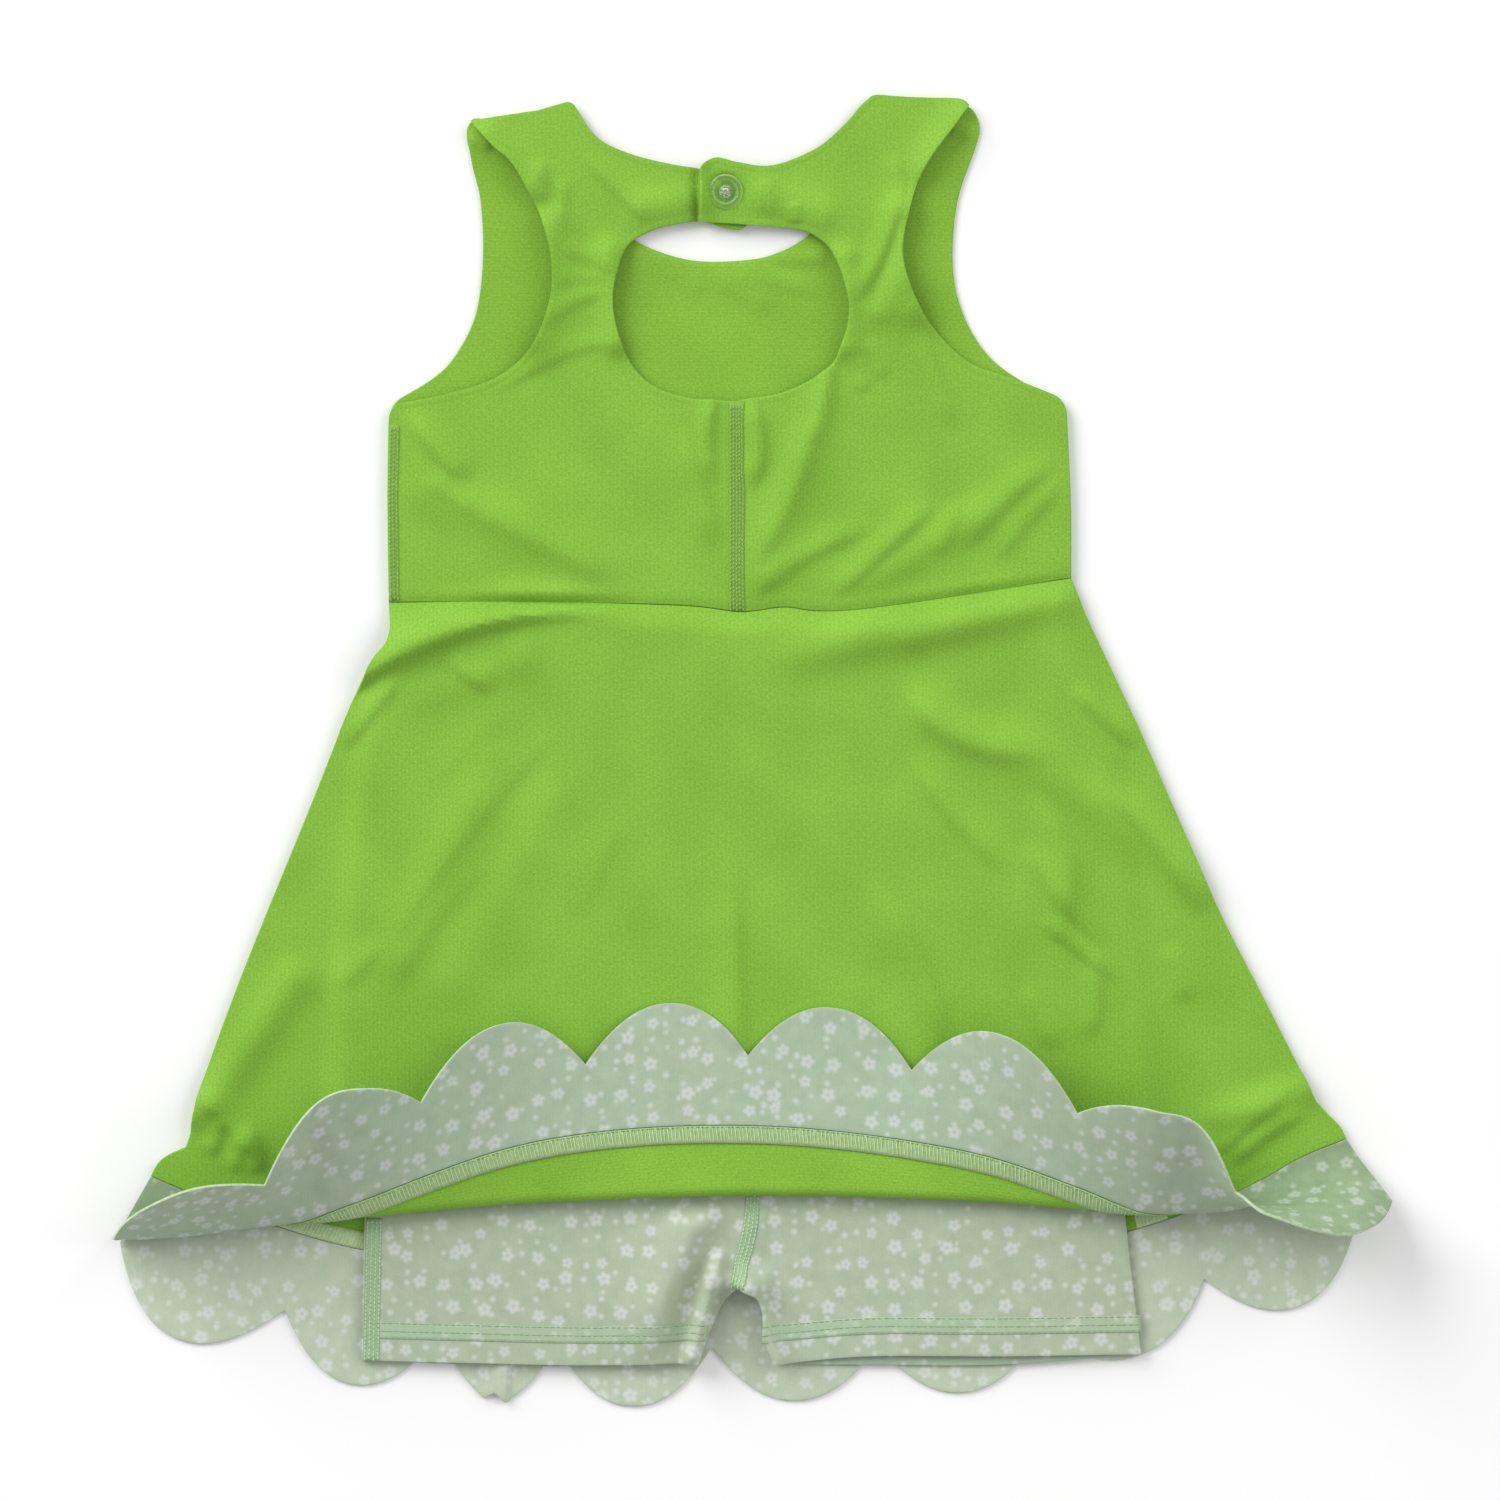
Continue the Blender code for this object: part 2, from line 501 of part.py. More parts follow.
def shorts(print_cloth):
    """Two legs, each a front half under a back half, joined down the centre above the crotch."""
    rows = np.concatenate([np.linspace(0, CROTCH_SHARE, 4), np.linspace(CROTCH_SHARE, 1, 7)[1:]])
    legs = (("left", -GAP / 2, LEG_LEFT_OUTER, INSEAM_LEFT, LEG_LEFT_HEM),
            ("right", GAP / 2, LEG_RIGHT_OUTER, INSEAM_RIGHT, LEG_RIGHT_HEM))
    for side, shift, outer, inseam, hem in legs:
        inseam, centre = moved(inseam[::-1], dx=shift), moved(SHORTS_CENTRE[::-1], dx=shift)
        edges = [smooth_curve(outer[::-1]), joined(smooth_curve(inseam), smooth_curve(centre), CROTCH_SHARE)]
        waist, hem = [outer[0], centre[-1]], [*hem[:-1], inseam[0]]
        if side == "right":
            edges, waist, hem = edges[::-1], waist[::-1], hem[::-1]
        top = smooth_curve(waist)
        back = four_sided(smooth_curve(hem), top, *edges)
        panel(f"shorts_back_{side}", 10, rows, back, lie_in_back_leg, print_cloth, SHORTS_CLOTH)
        dropped = [hem[0], *moved(hem[1:-1], dy=-FRONT_HEM_DROP), hem[-1]]
        front = four_sided(smooth_curve(dropped), top, *edges)
        panel(f"shorts_front_{side}", 8, rows, front, lie_in_front_leg, print_cloth, SHORTS_CLOTH)


def snap(clear_plastic):
    """The snap's cap on the tab: a turned disc with a rim, a dished ring and a centre nub."""
    radius, thick = SNAP_DIAMETER / 2, SNAP_THICKNESS
    dish, shoulder = 0.55 * thick, 0.6 * thick
    nub, nub_foot, rim_inside, rim_top, rounding = 1.1, 1.5, 2.4, 1.6, 0.3
    profile = [(0.0, thick), (nub, 0.95 * thick), (nub_foot, dish), (radius - rim_inside, dish),
               (radius - rim_top, thick), (radius - 2 * rounding, thick), (radius, shoulder),
               (radius, rounding), (radius - rounding, 0.0), (0.0, 0.0)]
    points = [(MM * r, 0.0, MM * z) for r, z in profile]
    mesh = bpy.data.meshes.new("snap_cap")
    mesh.from_pydata(points, [(i, i + 1) for i in range(len(points) - 1)], [])
    piece = add_object("snap_cap", mesh, clear_plastic)
    piece.location = (MM * SNAP_PLACE[0], MM * SNAP_PLACE[1], MM * (UPPER_Z + TAB_RISE + CLOTH + GAP))
    turn = piece.modifiers.new("turn", "SCREW")
    turn.steps = turn.render_steps = SNAP_STEPS
    turn.use_merge_vertices = True
    turn.merge_threshold = 0.00001
    turn.use_normal_calculate = True
    return piece


for old in list(bpy.data.objects):
    bpy.data.objects.remove(old, do_unlink=True)
dress = bpy.data.collections.new("athletic_dress")
bpy.context.scene.collection.children.link(dress)
middle = bpy.data.objects.new("middle", None)
dress.objects.link(middle)
middle.location = (-CENTRE_X * MM, -CENTRE_Y * MM, 0.0)

green_jersey = material("green_jersey", "86BD3C", 0.55)
sage_print = material("sage_print", "B2C9AA", 0.6)
clear_plastic = material("clear_plastic", "DDEBC8", 0.1)
bodice(green_jersey)
skirts(green_jersey)
hem_bands(sage_print)
shorts(sage_print)
snap(clear_plastic)
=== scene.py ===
# %% [markdown]
# A girl's athletic dress, laid flat with its back up.
# The dress is sewn from green jersey, with a scalloped band in a printed jersey at its hem and shorts of the
# same print inside. It was laid on its front, and the back's hem is turned up, so the inside of the band and
# the shorts show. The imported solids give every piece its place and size. This lesson makes the cloth itself:
# each cut piece becomes a fine grid of points that a formula lays over the solids, and then gets its folds,
# its wall, its weave and its stitches.

import math

import bpy
import numpy as np
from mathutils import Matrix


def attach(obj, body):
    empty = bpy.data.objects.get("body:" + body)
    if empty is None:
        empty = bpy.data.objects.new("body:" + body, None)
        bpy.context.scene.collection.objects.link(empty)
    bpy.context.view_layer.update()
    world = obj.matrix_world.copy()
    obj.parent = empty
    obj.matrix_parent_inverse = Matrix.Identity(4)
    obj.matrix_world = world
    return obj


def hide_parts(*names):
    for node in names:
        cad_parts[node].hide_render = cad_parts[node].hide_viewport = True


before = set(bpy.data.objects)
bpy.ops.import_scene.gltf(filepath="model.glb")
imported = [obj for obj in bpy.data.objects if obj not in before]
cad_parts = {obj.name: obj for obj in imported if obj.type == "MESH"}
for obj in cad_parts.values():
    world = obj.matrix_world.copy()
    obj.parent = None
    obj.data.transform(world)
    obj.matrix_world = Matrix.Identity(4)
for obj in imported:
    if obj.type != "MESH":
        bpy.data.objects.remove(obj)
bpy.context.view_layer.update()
MM = 0.001

# %% [markdown]
# The photograph looks straight down at the cloth. A long lens from five metres shows almost no perspective,
# as in a catalogue picture. The square picture takes in 600 mm of the table.

# %% Camera
PICTURE_WIDTH = 0.600
PICTURE_CENTRE = (-0.00084, 0.0002)
LENS, SENSOR = 300.0, 36.0


def add_object(name, data):
    """A new object in the scene, at the origin."""
    made = bpy.data.objects.new(name, data)
    bpy.context.scene.collection.objects.link(made)
    return made


camera_data = bpy.data.cameras.new("camera")
camera_data.lens = LENS
camera_data.sensor_width = SENSOR
camera_data.clip_end = 50.0
camera = add_object("camera", camera_data)
camera.location = (*PICTURE_CENTRE, PICTURE_WIDTH * LENS / SENSOR)
bpy.context.scene.camera = camera
print("camera height", round(camera.location.z, 2), "m")

# %% [markdown]
# The picture is lit very softly: white all round, and more from two low wide lamps, one from the upper left
# and a weaker one from the right. So both sides of every opening have a soft shadow, and most of it falls
# downwards. Little of the even white gets into a gap between two layers, so every gap is dark.

# %% Light and floor
WORLD_STRENGTH = 0.60
LAMPS = [
    # place, size in metres, power in watts
    ((-3.4, 2.9, 2.3), 4.2, 250.0),
    ((3.8, 1.8, 2.3), 4.2, 104.0),
]
FLOOR_DROP = 0.0001  # metres below the cloth, so that the two don't share a plane
FLOOR_SHADE, FLOOR_REACH = 0.885, 4.0  # share of the light that it gives back, and metres to each side

bpy.context.scene.view_settings.view_transform = "Standard"
world = bpy.data.worlds.new("white studio")
world.use_nodes = True
background = world.node_tree.nodes["Background"]
background.inputs["Color"].default_value = (1.0, 1.0, 1.0, 1.0)
background.inputs["Strength"].default_value = WORLD_STRENGTH
bpy.context.scene.world = world

for place, size, power in LAMPS:
    lamp_data = bpy.data.lights.new("broad lamp", "AREA")
    lamp_data.shape = "DISK"
    lamp_data.size = size
    lamp_data.energy = power
    lamp = add_object("broad lamp", lamp_data)
    lamp.location = place
    lamp.rotation_euler = (-lamp.location).to_track_quat("-Z", "Y").to_euler()
    print("lamp", round(lamp.location.length, 2), "m away")

# %% [markdown]
# Colours are read as sRGB hex, as a picture shows them, and the shader wants linear light. Materials are
# built from nodes, and one small function adds a node with its settings and links.


# %% Colour and nodes
def linear(hex_colour):
    """sRGB hex to linear red, green, blue and alpha, by the sRGB curve."""
    channels = np.array([int(hex_colour[i:i + 2], 16) for i in (0, 2, 4)]) / 255
    curved = np.where(channels <= 0.04045, channels / 12.92, ((channels + 0.055) / 1.055)**2.4)
    return (*(float(c) for c in curved), 1.0)


def node(tree, kind, sockets=None, **settings):
    """A new node with its settings. Its kind is Blender's name for it, less the ShaderNode in front.

    Each socket gets a value, or a link from another node's output.
    """
    made = tree.nodes.new("ShaderNode" + kind)
    for name, value in settings.items():
        setattr(made, name, value)
    for place, value in (sockets or {}).items():
        if isinstance(value, bpy.types.NodeSocket):
            tree.links.new(value, made.inputs[place])
        else:
            made.inputs[place].default_value = value
    return made


def start_material(name, roughness):
    """A material with a Principled shader, and its node tree."""
    finish = bpy.data.materials.new(name)
    finish.use_nodes = True
    shader = finish.node_tree.nodes["Principled BSDF"]
    shader.inputs["Roughness"].default_value = roughness
    return finish, finish.node_tree, shader


def two_shades(tree, value, start, end, deep, pale):
    """A colour that goes from the deep shade to the pale one while a value goes from start to end."""
    share = node(tree, "MapRange", {"Value": value, "From Min": start, "From Max": end}).outputs[0]
    return node(tree, "Mix", {0: share, 6: linear(deep), 7: linear(pale)}, data_type="RGBA").outputs[2]


floor_paint, _, floor_shader = start_material("pale matt floor", roughness=0.9)
floor_shader.inputs["Base Color"].default_value = (FLOOR_SHADE, FLOOR_SHADE, FLOOR_SHADE, 1.0)
floor_shader.inputs["Specular IOR Level"].default_value = 0.0
floor_mesh = bpy.data.meshes.new("floor")
quarters = ((-1, -1), (1, -1), (1, 1), (-1, 1))
floor_corners = [(x * FLOOR_REACH, y * FLOOR_REACH, -FLOOR_DROP) for x, y in quarters]
floor_mesh.from_pydata(floor_corners, [], [(0, 1, 2, 3)])
floor_mesh.materials.append(floor_paint)
floor = add_object("floor", floor_mesh)
print("green as light:", [round(c, 3) for c in linear("87BA43")])

# %% [markdown]
# The cutting table. Every outline is a smooth curve through a few points, measured in millimetres on the
# dress as it lies: X to the right, Y up it, from the middle of the back waist seam. These are the sizes that
# the solids were cut to, so each piece of cloth fits its solid.

# %% Outlines
CENTRE = np.array([6.84, -58.195, 0.0])  # the middle of the dress's box, which lies on the origin

NECK_BACK_LEFT = [
    (4.8, 174), (-14.4, 174.4), (-35.6, 178.4), (-49.7, 183.4), (-56.5, 188.2), (-61.4, 195.2), (-64.4, 200)]
SHOULDER_LEFT = [
    (-64.4, 200), (-66.8, 201.1), (-71.6, 199.8), (-84.8, 196.2), (-98.8, 194), (-103.8, 194.1),
    (-105.4, 193.2)]
ARMHOLE_BACK_LEFT = [
    (-105.4, 193.2), (-103.8, 191.2), (-96.4, 183), (-88.4, 175.2), (-77.2, 154.4), (-73.2, 133.6),
    (-75.6, 116.4), (-83.2, 100.8), (-96.4, 90.4), (-118, 83.6), (-138.4, 80)]
SIDE_LEFT = [(-138.4, 80), (-138.9, 42), (-138.4, 1)]
WAIST = [
    (-138.4, 1), (-90, 1.2), (-40, 0.4), (-16, -0.6), (0, -2.6), (8, -2.4), (20, -0.9), (33, -2.5),
    (52, -1.6), (90, 3.6), (134.4, 10.8)]
KEYHOLE_LEFT = [
    (4.6, 151.8), (1.6, 149.9), (-5.2, 151), (-13.6, 153.4), (-24, 152.4), (-34.8, 149.2), (-44.8, 141.2),
    (-48.8, 124), (-46.4, 107.2), (-40.4, 94.8), (-31.2, 86.8), (-17.2, 82.4), (0, 81.4)]
SIDE_RIGHT = [(134.4, 10.8), (134.2, 42), (132.4, 82)]
ARMHOLE_BACK_RIGHT = [
    (132.4, 82), (114, 89.4), (93.2, 97.2), (77.6, 112.8), (69.2, 130.4), (67.6, 147), (74, 170.8),
    (88.8, 192.8), (93.4, 199.4)]
SHOULDER_RIGHT = [(93.4, 199.4), (91.6, 201.3), (86.8, 202.3), (66, 203.3), (57.4, 204), (54.6, 203.4)]
NECK_BACK_RIGHT = [
    (54.6, 203.4), (50, 199.2), (44, 192.2), (32.4, 182.4), (14.8, 175.6), (1.6, 176.8), (-7.2, 178.8),
    (-12.8, 176.4), (-14.2, 173)]
KEYHOLE_RIGHT = [
    (0, 81.4), (18.8, 84.8), (34, 92), (42, 102), (45.5, 117), (43.6, 130.4), (40, 139.6), (34.8, 145.6),
    (26, 150), (4.8, 152), (-14.2, 153.2)]
ARMHOLE_FRONT_LEFT = [
    (-105, 193.8), (-107, 190.6), (-106.6, 184.8), (-105, 175.6), (-101.7, 161), (-100.8, 138.8),
    (-103.6, 116.4), (-111.6, 100), (-121, 90.4), (-138.4, 80)]
ARMHOLE_FRONT_RIGHT = [
    (132.4, 82), (117.2, 88), (101.2, 99.8), (91, 116.8), (87, 136.4), (89, 161.6), (96.2, 183),
    (97.6, 191.6), (95.4, 197.6), (91.6, 200.4)]
NECK_FRONT = [
    (-67, 199.4), (-60, 176), (-50, 156), (-39.6, 145.6), (-22.8, 138.8), (-7.2, 137.2), (11.2, 138.8),
    (26, 145.2), (38, 158), (47, 180), (55, 202.6)]
SKIRT_LEFT = [
    (-138.4, 1), (-138.4, -14), (-149.2, -30), (-172, -86), (-198, -150), (-215, -198), (-218, -213),
    (-220.4, -217.4), (-225, -219), (-230.2, -222.6), (-233.6, -228.4)]
SKIRT_RIGHT = [
    (134.4, 10.8), (141.2, -6), (163.6, -54), (191.6, -118), (212, -158.4), (224, -182), (228.4, -190),
    (232.6, -198.6), (238, -204.4), (242, -208.6), (244.4, -213.4)]
BAND_SEAM = [
    (-233.6, -228.4), (-198, -243), (-150, -257.6), (-72, -268.4), (4, -267.8), (76, -263.6), (144, -254),
    (198, -236), (226, -221), (244.4, -213.4)]
LEG_LEFT_OUTER = [(-122, -16), (-134, -60), (-143, -150), (-148, -245), (-149.2, -302)]
LEG_RIGHT_OUTER = [(118, -9), (136, -60), (150, -170), (156, -243.6), (162.4, -299.6)]
SHORTS_CENTRE = [
    (0, -16.4), (4, -120), (6, -190), (7, -222), (7.2, -234), (6.4, -246.8), (4.4, -256.7), (2.4, -264),
    (1.4, -272.8)]
INSEAM_LEFT = [(1.4, -272.8), (-3.4, -277), (-7.6, -284), (-11.4, -292), (-15.2, -303)]
INSEAM_RIGHT = [(1.4, -272.8), (7.6, -276.4), (10.4, -282.4), (11, -288), (12.4, -295), (16, -303.6)]
LEG_LEFT_HEM = [(-149.2, -302), (-110, -303), (-60, -304), (-15.2, -303)]
LEG_RIGHT_HEM = [(162.4, -299.6), (106, -300.4), (54, -300.4), (16, -303.6)]


def smooth_curve(points):
    """A function of 0 to 1 that runs through the points at an even pace, as a Catmull-Rom spline.

    Between two points it is the cubic whose slope at each is half the step between its neighbours.
    """
    knots = np.array(points, dtype=float)
    padded = np.vstack([2 * knots[0] - knots[1], knots, 2 * knots[-1] - knots[-2]])
    before, start, end, after = (padded[k:len(padded) - 3 + k, None] for k in range(4))
    t = np.linspace(0.0, 1.0, 24, endpoint=False)[:, None]
    cubic = 0.5 * (2 * start + (end - before) * t + (2 * before - 5 * start + 4 * end - after) * t**2
                   + (3 * start - before - 3 * end + after) * t**3)
    fine = np.vstack([cubic.reshape(-1, 2), knots[-1:]])
    pace = np.concatenate([[0.0], np.cumsum(np.linalg.norm(np.diff(fine, axis=0), axis=1))])
    pace /= pace[-1]

    def at(share):
        return np.stack([np.interp(share, pace, fine[:, axis]) for axis in (0, 1)], axis=-1)
    return at


def length_of(curve):
    """A curve's length: the sum of the steps between close points on it."""
    return np.linalg.norm(np.diff(curve(np.linspace(0, 1, 400)), axis=0), axis=1).sum()


def moved(points, dx=0.0, dy=0.0):
    """The same points, shifted."""
    return [(x + dx, y + dy) for x, y in points]


print("the waist seam is", round(length_of(smooth_curve(WAIST))), "mm, the band seam",
      round(length_of(smooth_curve(BAND_SEAM))), "mm")

# %% [markdown]
# The scalloped edge is a row of arcs between notches. Each arc bulges out from its chord by a formula, so the
# table needs only the notch that ends it, its bulge and its roundness. The third one in front lies creased,
# drawn together to two small points, so it is three arcs, and the short one between the points is hollow.

# %% Scallops
SCALLOP = np.dtype([("x", float), ("y", float), ("bulge", float), ("roundness", float)])
FRONT_CORNER = (-246.0, -254.8)
FRONT_SCALLOPS = np.array([
    (-180, -282, 27, 2.1),
    (-118, -293, 24.5, 2.1),
    (-100.5, -317.2, 1.5, 2),
    (-92, -319, -3, 1.1),
    (-71.6, -295.2, 2.5, 2),
    (-9.2, -296.8, 24.4, 2.2),
    (57.2, -296, 21.8, 2.1),
    (122, -292, 21, 2.1),
    (187.6, -269.6, 20.5, 2.1),
    (248, -249.2, 22.5, 2.1),
    (262, -240.4, 2, 2),  # first part of the next one, round the side
], dtype=SCALLOP)
BACK_CORNER = (-248.8, -255.2)
BACK_SCALLOPS = np.array([
    (-186.8, -280, 26, 2.1),
    (-124.8, -293.6, 24, 2.1),
    (-59.6, -296.6, 22, 2.1),
    (5.2, -295.8, 22, 2.1),
    (70.4, -292.6, 21.5, 2.1),
    (136, -287, 21.5, 2.1),
    (198.4, -267, 22, 2.1),
    (262, -240.4, 21, 2.1),
], dtype=SCALLOP)
SCALLOP_COLUMNS = 31


def hem_points(corner, scallops):
    """The scalloped edge: on each chord between notches, a bulge of 1 - |2t - 1| ^ roundness."""
    notches = np.vstack([corner, np.stack([scallops["x"], scallops["y"]], axis=-1)])
    start, chord = notches[:-1, None], np.diff(notches, axis=0)[:, None]
    outward = np.stack([chord[..., 1], -chord[..., 0]], axis=-1)
    outward /= np.linalg.norm(chord, axis=-1, keepdims=True)
    t = np.linspace(0, 1, SCALLOP_COLUMNS + 1)[1:, None]
    bulge = scallops["bulge"][:, None, None] * (1 - np.abs(2 * t - 1)**scallops["roundness"][:, None, None])
    return np.vstack([[corner], (start + chord * t + outward * bulge).reshape(-1, 2)])


def seam_shares(edge):
    """Where each point of a scalloped edge is sewn to the skirt, as a share of the seam."""
    return (edge[:, 0] - edge[0, 0]) / (edge[-1, 0] - edge[0, 0])


print("the back's edge has", len(hem_points(BACK_CORNER, BACK_SCALLOPS)), "points")

# %% [markdown]
# The layers. The front lies on the table, the shorts lie on it, and the back lies over both. The back's
# height is therefore a smooth function of place: low beside the shorts, higher over them.

# %% Layers
CLOTH, SHORTS_CLOTH, GAP = 1.2, 1.0, 0.3
UPPER_Z = CLOTH + GAP  # underside of the back where it lies on the front
SHORTS_FRONT_Z = CLOTH + GAP
SHORTS_BACK_Z = SHORTS_FRONT_Z + SHORTS_CLOTH + GAP
OVER_SHORTS_Z = SHORTS_BACK_Z + SHORTS_CLOTH + GAP
LEDGE, SLOPE = 10.0, 12.0  # past the shorts the back stays up, and then comes down
WAIST_LEDGE, WAIST_SLOPE = 1.0, 9.0  # below the waist seam it stays low first, and then rises
SEAM_PUFF, SEAM_PUFF_WIDTH = 0.5, 2.0  # cloth stands up on both sides of the waist seam's groove


def smooth_step(value):
    """0 below 0, 1 above 1, and 3t^2 - 2t^3 between."""
    value = np.clip(value, 0.0, 1.0)
    return value * value * (3.0 - 2.0 * value)


def ramp(value, ends):
    """0 before the first of two places and 1 past the second, with a smooth step between."""
    return smooth_step((value - ends[0]) / (ends[1] - ends[0]))


def bell(distance, width):
    """exp(-(distance / width)^2): 1 at the line, and almost 0 two widths from it."""
    return np.exp(-(distance / width)**2)


def from_waist(x, y):
    """How far a point is above the waist seam, or below it if negative."""
    waist = smooth_curve(WAIST)(np.linspace(0, 1, 200))
    return y - np.interp(x, waist[:, 0], waist[:, 1])


def over_shorts(x, y):
    """Underside of the back layer: up over the shorts, and down to the front beside and above them."""
    left, right = np.array(LEG_LEFT_OUTER), np.array(LEG_RIGHT_OUTER)
    from_left = x - np.interp(-y, -left[:, 1], left[:, 0])
    from_right = np.interp(-y, -right[:, 1], right[:, 0]) - x
    inside = smooth_step((from_left + LEDGE) / SLOPE + 1.0) * smooth_step((from_right + LEDGE) / SLOPE + 1.0)
    below_waist = smooth_step((-from_waist(x, y) - WAIST_LEDGE) / WAIST_SLOPE)
    return UPPER_Z + (OVER_SHORTS_Z - UPPER_Z) * inside * below_waist


print("the back lies", UPPER_Z, "mm up, and", OVER_SHORTS_Z, "mm over the shorts")

# %% [markdown]
# Folds. The solids carry the large soft ones, each a bell across a line. The cloth gets those and many finer
# creases. A crease in jersey has a soft side and a steep side: the steep side is what shows as a dark line
# under the lamp. Each is a curve bent by three points with its own widths and height, placed where the
# photograph shows it. They are drawn left to right or upwards, so the steep side lies below or to the right.

# %% Folds
RIDGE = np.dtype([(name, float) for name in ("x0", "y0", "x1", "y1", "half", "rise")])
BACK_RIDGES = np.array([
    (-140, -20, -84, 2, 7, 2.6),
    (-124, -34, -86, -21, 9, 2),
    (72, -12, 130, 4, 7, 2.2),
    (78, -46, 134, -72, 9, 2),
    (-98, -62, -132, -140, 9, 1.7),
    (-72, -78, -112, -150, 10, 1.2),
    (146, -80, 186, -112, 9, 2),
    (-176, -150, -214, -204, 8, 3),
    (196, -206, 236, -190, 7, 3),
    (30, 66, 14, 12, 7, 1.6),
    (58, 118, 74, 142, 6, 2.6),
    (-124, 44, -60, 14, 9, 1.6),
    (96, 36, 50, 6, 7, 1.8),
    (-80, 108, -74, 150, 9, 5),  # armhole edges stand off the front
    (-84, 168, -99, 186, 8, 4.6),
    (72, 120, 70, 156, 9, 5),
    (79, 174, 90, 192, 8, 5),
    (-50, 140, -47, 106, 6, 4.2),  # keyhole edges
    (44, 138, 45, 104, 6, 4.4),
    (-36, 158, -14, 163, 7, 2.4),  # the neckband stands up beside the gap under it
    (12, 163, 34, 156, 7, 2.4),
], dtype=RIDGE)
CREASE = np.dtype([(name, float) for name in ("x0", "y0", "xm", "ym", "x1", "y1", "soft", "steep", "rise")])
BACK_CREASES = np.array([
    # skirt, left
    (-184, -58, -112, 8, -36, -8, 9, 3.2, 5.2),
    (-156, -60, -146, -46, -130, -27, 6, 3, 1.8),
    (-119, -19, -110, -30, -95, -36, 6, 2.6, 1.6),
    (-146, -156, -118, -98, -62, -44, 9, 3.4, 0.9),
    (-124, -80, -106, -58, -84, -42, 8, 5, 0.6),
    (-141, -162, -120, -124, -92, -100, 8, 4, 0.6),
    (-158, -156, -149.5, -147, -139, -136, 5, 2.6, 1),
    (-60, -127, -53.5, -108.5, -42, -84, 8, 4, 0.6),
    (-218, -196, -206, -204, -188, -228, 7, 3, 2.6),
    (-187, -228, -189.5, -217.5, -194, -205, 5, 2.6, 1.7),
    (-200, -229, -196, -220, -194, -212, 4, 2.4, 1.2),
    (-209, -222, -205, -213, -203, -204, 4, 2.4, 1.2),
    # skirt, right
    (8, -30, 70, -16, 138, -2, 9, 9, 4.2),
    (62, -26, 76, -68, 138, -62, 9, 4.8, 2.5),
    (66, -60, 84, -88, 112, -112, 7, 3.4, 1.8),
    (130, -138, 148, -98, 116, -70, 8, 5, 3),
    (112, -94, 124, -116, 150, -142, 7, 3.2, 2),
    (120, -126, 134, -136, 153, -153, 5, 2.4, 1.9),
    (142, -176, 150, -158, 144, -138, 5, 2.6, 1.5),
    (112, -152, 118, -168, 128, -180, 5, 3, 1.2),
    (132, -34, 146, -46, 160, -60, 5, 2.8, 2.2),
    (146, -76, 167, -89, 184, -126, 6, 3.5, 2.6),
    (184, -160, 182, -146, 175, -133, 5, 3, 1.6),
    (88, -178, 82, -146, 56, -106, 8, 4, 2.4),
    (72, -178, 62, -160, 48, -142, 7, 4, 0.8),
    (4, -190, 4.5, -150, 0, -104, 8, 3.6, 2.4),
    (198, -227, 211.5, -211, 231, -203, 6, 2.8, 2.4),
    (190, -224, 207, -207, 226, -193, 6, 2.8, 1.8),
    # bodice, by the centre seam and below the keyhole
    (-6, 48, -13.2, 66, -5.5, 86, 4, 2.2, 2.4),
    (-3, 22, -12.8, 46, -19, 74, 6, 3, 2.2),
    (7.5, 44, 15.2, 64, 7, 86, 4.5, 2.2, 2.8),
    (1.5, 2, 36, 49.5, 39.5, 105, 8, 3.6, 2.8),
    (33, 62, 40, 79, 40.5, 108, 4, 2.4, 2),
    (4, -2, 24, 19.5, 60, 31, 6, 3.2, 1.7),
    (38, 0, 58, 18.2, 84, 42, 6, 2.8, 2.2),
    (90, 18, 107, 42, 132, 57, 7, 3.5, 2.4),
    (104, 14, 118, 34, 134, 50, 6, 3, 1.4),
    (82, 18, 87, 28, 92, 42, 4, 2.6, 1.2),
    (-119, 41, -85, 26.5, -47, 6, 9, 5, 2.2),
    (-134, 78, -121, 57, -106, 47, 6, 3, 2.2),
    (-126, 50, -116, 41, -100, 35, 6, 3, 1.2),
    # straps and keyhole sides
    (-63, 181, -47, 161.5, -34, 152, 5, 2.6, 1.5),
    (-75.5, 160, -76.5, 168, -75, 180, 4, 2.6, 1.3),
    (-68, 150, -67, 160, -66, 172, 4, 2.6, 1.1),
    (-72, 142, -59, 138, -47, 131, 4, 2.6, 1.1),
    (-74, 128, -64, 128.5, -48, 130, 4, 2.4, 0.9),
    (-76, 109, -68.5, 121.5, -48, 124, 4.5, 2.6, 1.3),
    (-98, 82, -67.5, 103.2, -46, 104, 5, 2.6, 1),
    (45.5, 118.5, 62.5, 135.2, 67, 166, 5, 2.6, 2.5),
    (67.5, 150, 69, 167, 65, 183, 5, 2.6, 1.4),
    (88, 193, 72, 168, 71, 146, 2.4, 2, 0.9),
    (26, 152, 26, 157, 25, 162, 3, 2.4, 0.9),
    (54, 84, 53.5, 93, 49.5, 102, 4, 2.6, 1),
    (62, 90, 60, 99, 54, 109, 4, 2.6, 1),
    (92, 70, 82.5, 91, 74, 114, 6, 3, 1.8),
    (15, 154, 17, 163, 14, 172, 4, 2.6, 0.6),
], dtype=CREASE)
FOLD_FADE, CREASE_FADE = 16.0, 5.0  # widths over which they die out at the waist and at the hem's turn
CREST = 0.8  # the crest lies this many steep widths from the dark line
CREASE_END = 0.3  # a crease dies out over this share of its length at each end
SWELL = 0.35  # gentle unevenness of cloth that was smoothed by hand
